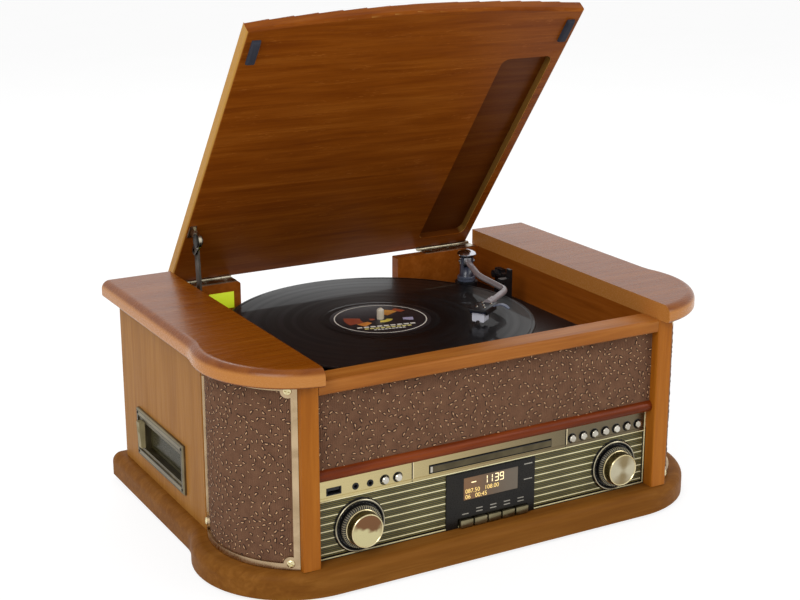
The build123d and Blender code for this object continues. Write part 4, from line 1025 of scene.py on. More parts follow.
# ---- Repeats, by Geometry Nodes --------------------------
class Repeat(Wiring):
    """A Geometry Nodes tree with named inputs, whose result becomes a plain mesh."""

    KINDS = {float: "NodeSocketFloat", int: "NodeSocketInt", tuple: "NodeSocketVector"}

    def __init__(self, name: str, **sizes: float | int | tuple | Object) -> None:
        """Start the tree.

        Args:
            name: of the tree and of its piece.
            sizes: the named inputs with their values.
        """
        super().__init__(bpy.data.node_groups.new(name, "GeometryNodeTree"))
        self.name = name
        self.values = {}
        face = self.tree.interface
        face.new_socket("Geometry", in_out="INPUT", socket_type="NodeSocketGeometry")
        face.new_socket("Geometry", in_out="OUTPUT", socket_type="NodeSocketGeometry")
        for key, value in sizes.items():
            kind = self.KINDS.get(type(value), "NodeSocketObject")
            socket = face.new_socket(key, in_out="INPUT", socket_type=kind)
            self.values[socket.identifier] = value
        self.entry = self.tree.nodes.new("NodeGroupInput")

    def size(self, name: str) -> NodeSocket:
        """The socket of a named input."""
        return self.entry.outputs[name]

    def host(self) -> NodeSocket:
        """The geometry that the tree starts from."""
        return self.entry.outputs["Geometry"]

    def shape(self, name: str) -> NodeSocket:
        """The geometry of an object that is an input."""
        return self.node("GeometryNodeObjectInfo", {"Object": self.size(name)}, out="Geometry")

    def chance(self, low: Input, high: Input, seed: Input) -> NodeSocket:
        """A random number for each point."""
        inputs = {2: low, 3: high, "Seed": seed}
        return self.node("FunctionNodeRandomValue", inputs, out=1, data_type="FLOAT")

    def copies(self, spots: NodeSocket, unit: NodeSocket, **more: Input) -> NodeSocket:
        """One copy of a unit on each point, with its Rotation and Scale."""
        return self.node("GeometryNodeInstanceOnPoints", {"Points": spots, "Instance": unit, **more})

    def cube(self, name: str) -> NodeSocket:
        """A box whose size is a named input."""
        return self.node("GeometryNodeMeshCube", {"Size": self.size(name)})

    def bake(self, geometry: NodeSocket, finish: Finish, base: Mesh | None = None) -> Object:
        """Close the tree with Realize Instances and Set Material, and take its result.

        Args:
            geometry: the last node's output.
            finish: what the repeated shape is made of.
            base: mesh that the tree starts from.

        Returns:
            A plain mesh object without the modifier.
        """
        real = self.node("GeometryNodeRealizeInstances", {"Geometry": geometry})
        dressed = self.node("GeometryNodeSetMaterial", {"Geometry": real, "Material": finish.material()})
        output = self.tree.nodes.new("NodeGroupOutput")
        self.tree.links.new(dressed, output.inputs[0])
        holder = linked(f"{self.name}_base", base or bpy.data.meshes.new(f"{self.name}_base"))
        modifier = holder.modifiers.new(self.name, "NODES")
        modifier.node_group = self.tree
        for key, value in self.values.items():
            modifier[key] = value
        holder.update_tag()
        data = evaluated(holder)
        bpy.data.objects.remove(holder)
        data.name = self.name
        return linked(self.name, data)


def moved(piece: Object, place: Matrix) -> Object:
    """Move an object's mesh, leaving the object at the origin."""
    piece.data.transform(place)
    return piece


def points(name: str, places: list[Point], facing: list[Point]) -> Mesh:
    """Loose points with the way that each faces.

    Args:
        name: of the mesh.
        places: the points in millimetres.
        facing: a direction for each.

    Returns:
        The mesh, in metres in the frame.
    """
    data = bpy.data.meshes.new(name)
    data.from_pydata([TO_FRAME @ Vector(p) for p in places], [], [])
    layer = data.attributes.new("facing", "FLOAT_VECTOR", "POINT")
    for item, way in zip(layer.data, facing):
        item.vector = way
    return data


def carve(piece: Object, cutter: Object) -> None:
    """Cut one closed object out of another and remove the cutter.

    Args:
        piece: what is cut.
        cutter: what is taken away.
    """
    modifier = piece.modifiers.new("cut", "BOOLEAN")
    modifier.object, modifier.operation, modifier.solver = cutter, "DIFFERENCE", "EXACT"
    apply(piece)
    bpy.data.objects.remove(cutter)


def lettering(name: str, text: str, height: float, place: Point, finish: Finish) -> Object:
    """Thin raised letters that face the front.

    Args:
        name: of the piece.
        text: what they say.
        height: of a capital in millimetres.
        place: left end of the foot line in millimetres.
        finish: what they are made of.

    Returns:
        The plain mesh object.
    """
    curve = bpy.data.curves.new(name, "FONT")
    size, half_depth = height * 1.4, 0.06
    curve.body, curve.size, curve.extrude = text, size, half_depth
    holder = linked(f"{name}_base", curve)
    data = evaluated(holder)
    bpy.data.objects.remove(holder)
    data.name = name
    data.transform(TO_FRAME @ Matrix.Translation(place) @ FACE_FRONT)
    data.materials.clear()
    data.materials.append(finish.material())
    return linked(name, data)


def set_on_points(
    name: str, unit: Object, finish: Finish, base: Mesh, seed: int = 0, spin: float = 0.0
) -> Object:
    """Repeat an object on points, turned the way that each faces, and remove it.

    Args:
        name: of the piece.
        unit: what is repeated, in metres round its own origin, with Z outwards.
        finish: what it is made of.
        base: the points.
        seed: of the random spin.
        spin: how far each may turn about its own axis, in radians.

    Returns:
        The plain mesh object.
    """
    tree = Repeat(name, Shape=unit, Spin=spin, Seed=seed)
    way = tree.node("GeometryNodeInputNamedAttribute", {"Name": "facing"}, data_type="FLOAT_VECTOR")
    aimed = tree.node("FunctionNodeAlignRotationToVector", {"Vector": way}, axis="Z")
    turn = tree.chance(tree.times(tree.size("Spin"), -1.0), tree.size("Spin"), tree.size("Seed"))
    local = tree.node("FunctionNodeEulerToRotation", {"Euler": tree.vector(Z=turn)})
    inputs = {"Rotation": aimed, "Rotate By": local}
    turned = tree.node("FunctionNodeRotateRotation", inputs, rotation_space="LOCAL")
    made = tree.bake(tree.copies(tree.host(), tree.shape("Shape"), Rotation=turned), finish, base)
    bpy.data.objects.remove(unit)
    return made


def bars(name: str, count: int, step: Point, bar: Point, place: Point, finish: Finish) -> Object:
    """A row of equal bars.

    Args:
        name: of the piece.
        count: number of bars.
        step: millimetres from one to the next along each axis.
        bar: size of one bar in millimetres.
        place: middle of the first bar in millimetres.
        finish: what they are made of.

    Returns:
        The plain mesh object.
    """
    tree = Repeat(name, Count=count, Step=tuple(v * MM for v in step), Bar=tuple(v * MM for v in bar))
    inputs = {"Count": tree.size("Count"), "Offset": tree.size("Step")}
    line = tree.node("GeometryNodeMeshLine", inputs, mode="OFFSET")
    row = tree.bake(tree.copies(line, tree.cube("Bar")), finish)
    return moved(row, Matrix.Translation(TO_FRAME @ Vector(place)))


def ring_of(name: str, count: int, radius: float, mark: Point, place: Matrix, finish: Finish) -> Object:
    """Equal marks round a circle, each pointing to its middle.

    Args:
        name: of the piece.
        count: number of marks.
        radius: of the circle in millimetres.
        mark: length, width and height of a mark in millimetres.
        place: from the circle's own millimetres to the drawing's.
        finish: what they are made of.

    Returns:
        The plain mesh object.
    """
    tree = Repeat(name, Count=count, Radius=radius * MM, Mark=tuple(v * MM for v in mark))
    inputs = {"Vertices": tree.size("Count"), "Radius": tree.size("Radius")}
    circle = tree.node("GeometryNodeMeshCircle", inputs)
    share = tree.sum("DIVIDE", tree.node("GeometryNodeInputIndex"), tree.size("Count"))
    turn = tree.vector(Z=tree.times(share, 2 * math.pi))
    marks = tree.bake(tree.copies(circle, tree.cube("Mark"), Rotation=turn), finish)
    return moved(marks, TO_FRAME @ place @ TO_MILLIMETRES)


# ---- Speaker cloth ---------------------------------------
@dataclass
class ClothSheet:
    """A stretched, ribbed speaker cloth with its scattered commas, flat or bowed round an axis."""

    name: str
    width: float
    height: float
    low_z: float
    rib: float = 1.9
    depth: float = 0.16
    wall: float = 0.5
    comma_gap: float = 4.5
    comma_density: float = 60000.0
    comma_sizes: Pair = (0.8, 1.15)
    seed: int = 4
    front_y: float = 9.25
    bow: tuple[float, float, float, float] | None = None
    left: bool = False

    def sheet(self) -> Object:
        """Make the flat ribbed cloth by Geometry Nodes.

        Returns:
            An open mesh, with X along the cloth and Y up it, in metres.
        """
        count = round(self.width / self.rib)
        sizes = {"Width": self.width * MM, "Height": self.height * MM, "Depth": self.depth * MM}
        tree = Repeat(self.name, Columns=count * 6 + 1, Rows=18, Ribs=float(count), **sizes)
        grid = {"Size X": tree.size("Width"), "Size Y": tree.size("Height")}
        grid |= {"Vertices X": tree.size("Columns"), "Vertices Y": tree.size("Rows")}
        flat = tree.node("GeometryNodeMeshGrid", grid)
        here = tree.node("GeometryNodeInputPosition")
        stored = {"Geometry": flat, "Name": "cloth", "Value": here}
        named = tree.node("GeometryNodeStoreNamedAttribute", stored, data_type="FLOAT_VECTOR", domain="POINT")
        along = tree.sum("DIVIDE", tree.axis(here, 0), tree.size("Width"))
        phase = tree.times(along, tree.times(tree.size("Ribs"), 2 * math.pi))
        lift = tree.times(tree.sum("COSINE", phase), tree.size("Depth"))
        ribbed = tree.node("GeometryNodeSetPosition", {"Geometry": named, "Offset": tree.vector(Z=lift)})
        return tree.bake(ribbed, Weave("speaker_cloth"))

    def commas(self, sheet: Object) -> Object:
        """Scatter raised commas evenly over the still flat cloth.

        Args:
            sheet: the flat cloth.

        Returns:
            The commas as one mesh, flat like the cloth.
        """
        unit = self.comma()
        sizes = {"Gap": self.comma_gap * MM, "Density": self.comma_density, "Seed": self.seed}
        tree = Repeat(f"{self.name}_commas", Shape=unit, **sizes)
        spread = {"Mesh": tree.host(), "Distance Min": tree.size("Gap")}
        spread |= {"Density Max": tree.size("Density"), "Seed": tree.size("Seed")}
        spots = tree.node("GeometryNodeDistributePointsOnFaces", spread, distribute_method="POISSON")
        turn = tree.chance(-math.pi, math.pi, tree.sum("ADD", tree.size("Seed"), 5))
        size = tree.chance(*self.comma_sizes, tree.sum("ADD", tree.size("Seed"), 9))
        copies = tree.copies(spots, tree.shape("Shape"), Rotation=tree.vector(Z=turn), Scale=size)
        made = tree.bake(copies, Nub("cloth_nub"), sheet.data.copy())
        bpy.data.objects.remove(unit)
        return made

    def comma(self) -> Object:
        """Make one comma: a bent oval with painted shade round its foot and a small painted highlight in its
        middle.

        Returns:
            Its mesh, with the height of each point, from 0 to 1, as rise.
        """
        widest = 1.35
        # Each row: place along, place aside, half width, and its share of painted highlight.
        rows = [(-2.0, -0.3, 0.75, 0.1), (-1.1, 0.15, 1.2, 0.85), (0.0, 0.3, widest, 1.0)]
        rows += [(1.1, 0.1, 1.15, 0.85), (2.0, -0.5, 0.65, 0.1)]
        shares = ((-1.0, 0.0, 0.0), (-0.45, 0.36, 0.5), (0.0, 0.5, 1.0), (0.45, 0.36, 0.5), (1.0, 0.0, 0.0))
        verts, rise = [], []
        for along, aside, half, pale in rows:
            for share, up, middle in shares:
                verts.append((along, aside + share * half, up * half / widest))
                # rise: the painted light of each point, dark at the foot and brightest on the top's middle.
                rise.append(middle * pale)
        verts += [(-2.5, -0.6, 0.0), (2.5, -0.9, 0.0)]
        rise += [0.0, 0.0]
        faces = [(5 * r + c, 5 * r + 5 + c, 5 * r + 6 + c, 5 * r + 1 + c) for r in range(4) for c in range(4)]
        faces += [(25, c, c + 1) for c in range(4)] + [(26, 21 + c, 20 + c) for c in range(4)]
        data = bpy.data.meshes.new("comma")
        data.from_pydata([Vector(v) * MM for v in verts], [], faces)
        layer = data.attributes.new("rise", "FLOAT", "POINT")
        layer.data.foreach_set("value", rise)
        for face in data.polygons:
            face.use_smooth = True
        return linked("comma", data)

    def wrap(self, piece: Object) -> None:
        """Lay a flat mesh on the front or round the bow.

        Args:
            piece: mesh with X along the cloth, Y up it and Z out of it, in metres.
        """
        middle = self.low_z + self.height / 2
        for vert in piece.data.vertices:
            x, up, out = (v / MM for v in vert.co)
            y = self.front_y - out
            if self.bow:
                centre_x, centre_y, radius, angle = self.bow
                along, back = polar(radius + out, angle + x / radius)
                x, y = centre_x + along, centre_y + back
            vert.co = TO_FRAME @ Vector((-x if self.left else x, y, middle + up))
        if self.left:
            piece.data.flip_normals()

    def thicken(self, piece: Object) -> None:
        """Give the open sheet its thickness behind its face.

        Args:
            piece: the wrapped sheet.
        """
        modifier = piece.modifiers.new("wall", "SOLIDIFY")
        modifier.thickness, modifier.offset = self.wall * MM, -1.0
        apply(piece)

    def build(self, replaces: str, rests_on: str) -> None:
        """Args:
            replaces: the CAD node that they stand for.
            rests_on: the piece or node behind the cloth; not used.
        """
        sheet = self.sheet()
        commas = self.commas(sheet)
        self.wrap(sheet)
        self.wrap(commas)
        self.thicken(sheet)
        settle(commas, "cabinet", ())
        settle(sheet, "cabinet", (replaces,))


# ---- Studio ----------------------------------------------
@dataclass
class Studio:
    """Pale floor, plain soft lamps and the camera."""

    camera_place: Point = (-0.70829, -1.24105, 0.61942)
    heading: float = 29.5
    tilt: float = 16.5
    lens: float = 69.67
    world_level: float = 0.55
    reach: float = 12.0
    floor_z: float = -0.0002
    floor_glow: float = 1.16
    floor_shadow: float = 0.3
    aim: Point = (0.0, 0.0, 0.15)
    lamps: tuple[tuple[str, Point, Pair, float], ...] = (
        ("lamp_left", (-1.7, -1.3, 1.7), (1.4, 1.2), 26),
        ("lamp_right", (1.6, -1.5, 1.3), (1.2, 1.2), 12),
        ("lamp_back", (0.6, 1.6, 1.9), (1.4, 1.0), 14),
    )

    def camera(self) -> None:
        """Set up the camera."""
        data = bpy.data.cameras.new("camera")
        data.lens, data.sensor_width = self.lens, 36.0
        data.clip_start, data.clip_end = 0.05, 30.0
        made = linked("camera", data)
        made.location = self.camera_place
        made.rotation_euler = Euler((math.radians(90 - self.tilt), 0, -math.radians(self.heading)))
        bpy.context.scene.camera = made

    def seen(self, wiring: Wiring) -> NodeSocket:
        """Tell the rays that show the background: camera, mirror and glass.

        Args:
            wiring: the tree that asks.

        Returns:
            One for those rays, and nought for the others.
        """
        rays = wiring.node("ShaderNodeLightPath", out="Is Camera Ray")
        for kind in ("Is Glossy Ray", "Is Transmission Ray"):
            rays = wiring.sum("MAXIMUM", rays, wiring.node("ShaderNodeLightPath", out=kind))
        return rays

    def floor(self) -> None:
        """Lay the pale floor, which stays white in the picture but keeps a soft shadow."""
        shader = Shader("floor_white")
        colour = shader.blend(shader.clouds(6), srgb(0xEEEEEE), srgb(0xF6F6F6))
        plain = shader.node("ShaderNodeBsdfDiffuse", {"Color": colour})
        glow = shader.node("ShaderNodeEmission", {"Color": WHITE, "Strength": self.floor_glow})
        lit = shader.node("ShaderNodeMixShader", {0: self.floor_shadow, 1: glow, 2: plain})
        material = shader.close(shader.node("ShaderNodeMixShader", {0: self.seen(shader), 1: plain, 2: lit}))
        data = bpy.data.meshes.new("floor")
        reach, signs = self.reach, ((-1, -1), (1, -1), (1, 1), (-1, 1))
        data.from_pydata([(x * reach, y * reach, self.floor_z) for x, y in signs], [], [(0, 1, 2, 3)])
        data.materials.append(material)
        linked("floor", data)

    def world(self) -> None:
        """White surroundings that the picture and the mirrors see, dimmer for the light they give."""
        world = bpy.data.worlds.new("studio")
        bpy.context.scene.world = world
        world.use_nodes = True
        world.node_tree.nodes.clear()
        wiring = Wiring(world.node_tree)
        dim = wiring.node("ShaderNodeBackground", {"Color": WHITE, "Strength": self.world_level})
        white = wiring.node("ShaderNodeBackground", {"Color": WHITE, "Strength": 1.0})
        mixed = wiring.node("ShaderNodeMixShader", {0: self.seen(wiring), 1: dim, 2: white})
        output = world.node_tree.nodes.new("ShaderNodeOutputWorld")
        world.node_tree.links.new(mixed, output.inputs["Surface"])

    def lamp(self, name: str, place: Point, size: Pair, power: float) -> None:
        """Hang one soft lamp that looks at the middle of the object.

        Args:
            name: of the lamp.
            place: in metres.
            size: width and height in metres.
            power: in watts.
        """
        data = bpy.data.lights.new(name, "AREA")
        data.shape, data.size, data.size_y, data.energy = "RECTANGLE", size[0], size[1], power
        made = linked(name, data)
        made.location = place
        made.rotation_euler = (Vector(self.aim) - Vector(place)).to_track_quat("-Z", "Y").to_euler()

    def build(self) -> None:
        """Set up everything round the object."""
        self.camera()
        self.floor()
        self.world()
        for lamp in self.lamps:
            self.lamp(*lamp)
        bpy.context.scene.view_settings.view_transform = "Standard"


# ---- Cabinet ---------------------------------------------
@dataclass
class Cabinet:
    """Wooden case, its boards, feet and the tag on the left hinge block."""

    tag_low: Pair = (-142.0, 167.0)
    tag_high: Pair = (-115.0, 184.0)
    block_front: float = 314.4

    def build(self) -> None:
        """Dress the boards and add the tag."""
        for finish, nodes in (
            (BASE_WOOD, ("base_board",)),
            (SIDE_WOOD, ("side_wall_left", "side_wall_right")),
            (PILLAR_WOOD, ("front_pillars",)),
            (CAP_WOOD, ("top_cap_left", "top_cap_right")),
            (WELL_WOOD, ("inner_boards",)),
            (RAIL_WOOD, ("front_rail",)),
            (MOULDING_WOOD, ("moulding",)),
            (REAR_WOOD, ("rear_panel",)),
            (RUBBER, ("feet",)),
        ):
            dress(finish, *nodes)
        (left, low), (right, high), front = self.tag_low, self.tag_high, self.block_front
        tag = Shape("blank_tag")
        # The tag's paper glows with painted light.
        tag.block((left, front - 0.35, low), (right, front - 0.02, high), TAG_PAPER_PAINTED_GLOW, 0.12)
        tag.piece("cabinet")


# ---- Screws ----------------------------------------------
@dataclass
class Screws:
    """Cross-head screws of the grilles, the cassette frame and the rear panel."""

    large: Pair = (3.6, 1.5)
    small: Pair = (1.5, 0.5)
    bow: tuple[float, float, float] = (151.5, 83.0, 87.6)
    bow_spots: tuple[tuple[float, float, float], ...] = ((-56.1, 32.1, 187.6), (20.7, 38.1, 181.6))
    bezel: tuple[float, float, float] = (-234.6, 225.1, 67.0)
    bezel_reach: Pair = (55.65, 20.05)
    rear_y: float = 326.7
    rear_columns: tuple[float, ...] = (-207.5, -115.75, 115.75, 207.5)
    rear_rows: Pair = (34.1, 146.2)

    def head(self, radius: float, height: float) -> Object:
        """A domed head with a cross recess, round its own origin.

        Args:
            radius: of the head in millimetres.
            height: of its dome in millimetres.

        Returns:
            The head, in metres.
        """
        shares = ((1.0, 0.2), (0.86, 0.62), (0.5, 0.94))
        dome = [(0, 0.04), (radius, 0.04), *((radius * a, height * b) for a, b in shares), (0, height)]
        made = Shape("screw_head").lathe(dome, BRASS, steps=20).mesh(place=TO_METRES)
        arm, half, low = radius * 0.62, radius * 0.13, height * 0.35
        for x, y in ((arm, half), (half, arm)):
            cutter = Shape("recess").block((-x, -y, low), (x, y, height * 2), DARK_SCREW)
            carve(made, cutter.mesh(place=TO_METRES))
        return made

    def build(self) -> None:
        """Make the three sets of screws."""
        centre_x, centre_y, radius = self.bow
        places, facing = [], []
        for turn, low, high in self.bow_spots:
            across, back = polar(1, math.radians(turn))
            for side in (-1, 1):
                for z in (low, high):
                    places.append((side * (centre_x + radius * across), centre_y + radius * back, z))
                    facing.append((side * across, back, 0))
        self.spread("grille_screws", self.large, places, facing, SCREW_CREAM)
        (x, y, z), (along, up) = self.bezel, self.bezel_reach
        corners = [(x, y + a * along, z + b * up) for a in (-1, 1) for b in (-1, 1)]
        self.spread("bezel_screws", self.small, corners, [(-1, 0, 0)] * 4, DARK_SCREW)
        spots = [(a, self.rear_y, b) for a in self.rear_columns for b in self.rear_rows]
        self.spread("rear_screws", self.large, spots, [(0, 1, 0)] * len(spots), BRASS)

    def spread(self, name: str, size: Pair, places: list[Point], facing: list[Point], finish: Finish) -> None:
        """Set one screw on each place.

        Args:
            name: of the piece.
            size: radius and height of the head in millimetres.
            places: seats in millimetres.
            facing: the way that each head looks.
            finish: what they are made of.
        """
        seats = points(name, places, facing)
        made = set_on_points(name, self.head(*size), finish, seats, len(name), SCREW_SPIN)
        settle(made, "cabinet", ("screws",))


# ---- Control panel ---------------------------------------
def border_of(half_x: float, half_y: float, width: float) -> list[tuple[float, float, float, float]]:
    """The four bars of a rectangular frame.

    Args:
        half_x: half of its outer length.
        half_y: half of its outer height.
        width: of its bars.

    Returns:
        Left, right, low and high of the top, the bottom, the left and the right bar.
    """
    inner_x, inner_y = half_x - width, half_y - width
    return [
        (-half_x, half_x, inner_y, half_y),
        (-half_x, half_x, -half_y, -inner_y),
        (-half_x, -inner_x, -inner_y, inner_y),
        (inner_x, half_x, -inner_y, inner_y),
    ]


@dataclass
class Dial:
    """Rim, ticks and knob of one dial."""

    name: str
    x: float
    cap: SpunMetalPaintedReflection
    z: float = 52.5
    front: float = 10.2
    radius: float = 24.1
    ticks: int = 36
    teeth: int = 56

    def place(self) -> Matrix:
        """The dial's own millimetres, with Z towards the viewer, turned to the drawing's."""
        return Matrix.Translation((self.x, self.front, self.z)) @ FACE_FRONT

    def rim(self) -> None:
        """Bright rim on the dish, dark ring round it, and the marks on the dish."""
        r = self.radius
        edge = [(-1.2, -0.5), (-1.0, 0.03), (-0.4, 0.09), (0.05, -0.3), (0.05, -0.9), (-1.2, -0.9)]
        groove = [(0.15, -2.75), (0.15, -2.4), (0.5, -2.2), (1.0, -2.4), (1.2, -2.75)]
        rim = Shape(f"{self.name}_rim")
        for profile, finish in ((edge, SILVER_RIM), (groove, FIELD_BLACK)):
            rim.lathe([(r + out, up) for out, up in profile], finish, self.place(), 96, ring=True)
        rim.piece("cabinet", slot="trim_metal")
        dish, mark = self.place() @ Matrix.Translation((0, 0, -1.52)), (1.3, 0.32, 0.12)
        settle(ring_of(f"{self.name}_marks", self.ticks, r - 3.1, mark, dish, CAPTION), "cabinet")

    def knob(self) -> None:
        """Fluted skirt, bright ring, tapered body and domed cap."""
        knob = Shape(f"{self.name}_turned")
        knob.lathe([(0, -4.9), (2.9, -4.9), (2.9, 0.6), (0, 0.6)], STEEL, self.place(), 24)
        skirt = [(0, 0.4), (19.2, 0.4), (19.35, 0.8), (19.35, 1.3), (18.2, 3.5), (17.6, 3.9), (0, 3.9)]
        ring = [(0, 3.85), (16.75, 3.85), (16.75, 4.4), (16.6, 5.0), (16.1, 5.3), (15.9, 5.9), (0, 5.9)]
        body = [(0, 5.8), (16.0, 5.8), (15.85, 11.9), (15.6, 12.7), (15.3, 13.15), (0, 13.15)]
        rim = [(14.1, 12.9), (15.35, 12.9), (15.35, 13.25), (15.0, 13.62), (14.4, 13.62), (14.1, 13.2)]
        dome = [(0, 13.0), (14.2, 13.0), (14.2, 13.18), (12.5, 13.42), (9.0, 13.78), (5.0, 14.0), (0, 14.1)]
        for profile, finish in (
            (skirt, DECK_BLACK),
            (ring, KNOB_GOLD),
            (body, KNOB_OLIVE),
            (rim, KNOB_GOLD),
            (dome, self.cap),
        ):
            knob.lathe(profile, finish, self.place(), 96, ring=profile is rim)
        body_name = f"{self.name}_knob"
        knob.piece(body_name, (body_name,), "knob_brass")
        place = self.place() @ Matrix.Translation((0, 0, 2.5))
        teeth = ring_of(f"{self.name}_teeth", self.teeth, 18.1, (2.4, 0.6, 3.2), place, TOOTH_GREY)
        settle(teeth, body_name, ())


@dataclass
class Display:
    """Lit window with made-up figures, above the row of keys."""

    middle: Pair = (1.5, 62.55)
    size: Pair = (58.3, 21.7)
    floor_y: float = 12.4
    time: str = "11 39"
    digit: Pair = (4.3, 7.6)
    stroke: float = 0.72
    letter: float = 4.1

    def spot(self, across: float, down: float) -> Pair:
        """Place in the window from its share of the width and of the height below the top."""
        left, top = self.middle[0] - self.size[0] / 2, self.middle[1] + self.size[1] / 2
        return left + across * self.size[0], top - down * self.size[1]

    def segments(self, shape: Shape, figure: str, x: float, z: float) -> None:
        """Add the lit bars of one figure.

        Args:
            shape: what they are added to.
            figure: a digit or a space.
            x: its left edge.
            z: its foot.
        """
        width, height = self.digit
        s, mid = self.stroke, height / 2
        cut = s * 0.6
        bars = {
            "a": (cut, height - s, width - cut, height),
            "b": (width - s, mid + cut, width, height - cut),
            "c": (width - s, cut, width, mid - cut),
            "d": (cut, 0, width - cut, s),
            "f": (0, mid + cut, s, height - cut),
            "g": (cut, mid - s / 2, width - cut, mid + s / 2),
        }
        for key in {"1": "bc", "3": "abcdg", "9": "abcdfg", " ": ""}[figure]:
            low_x, low_z, high_x, high_z = bars[key]
            self.lit(shape, (x + low_x, z + low_z), (x + high_x, z + high_z))

    def lit(self, shape: Shape, low: Pair, high: Pair) -> None:
        """Add a lit bar between two corners."""
        front, back = self.floor_y - 0.42, self.floor_y - 0.2
        shape.block((low[0], front, low[1]), (high[0], back, high[1]), WARM_WHITE)

    def build(self) -> None:
        """Make the window's pane, the time, a dash and two lines of figures."""
        (x, z), y, gap = self.middle, self.floor_y, 0.15
        half_x, half_z = self.size[0] / 2 - gap, self.size[1] / 2 - gap
        low, high = (x - half_x, y - 0.25, z - half_z), (x + half_x, y - 0.01, z + half_z)
        pane = Shape("display_pane").block(low, high, DisplayPane("display_pane"))
        pane.piece("cabinet", slot="display_black")
        figures = Shape("display_time")
        x, z = self.spot(0.36, 0.43)
        for figure in self.time:
            self.segments(figures, figure, x, z)
            x += 1.2 if figure == " " else 5.4
        x, z = self.spot(0.14, 0.27)
        self.lit(figures, (x, z), (x + 5.0, z + 0.9))
        figures.piece("cabinet", slot="display_black")
        for name, text, down in (
            ("display_line_1", "087.50   108.00", 0.70),
            ("display_line_2", "06   00:45", 0.95),
        ):
            x, z = self.spot(0.03, down)
            line = lettering(name, text, self.letter, (x, y - 0.22, z), AMBER)
            settle(line, "cabinet", ())


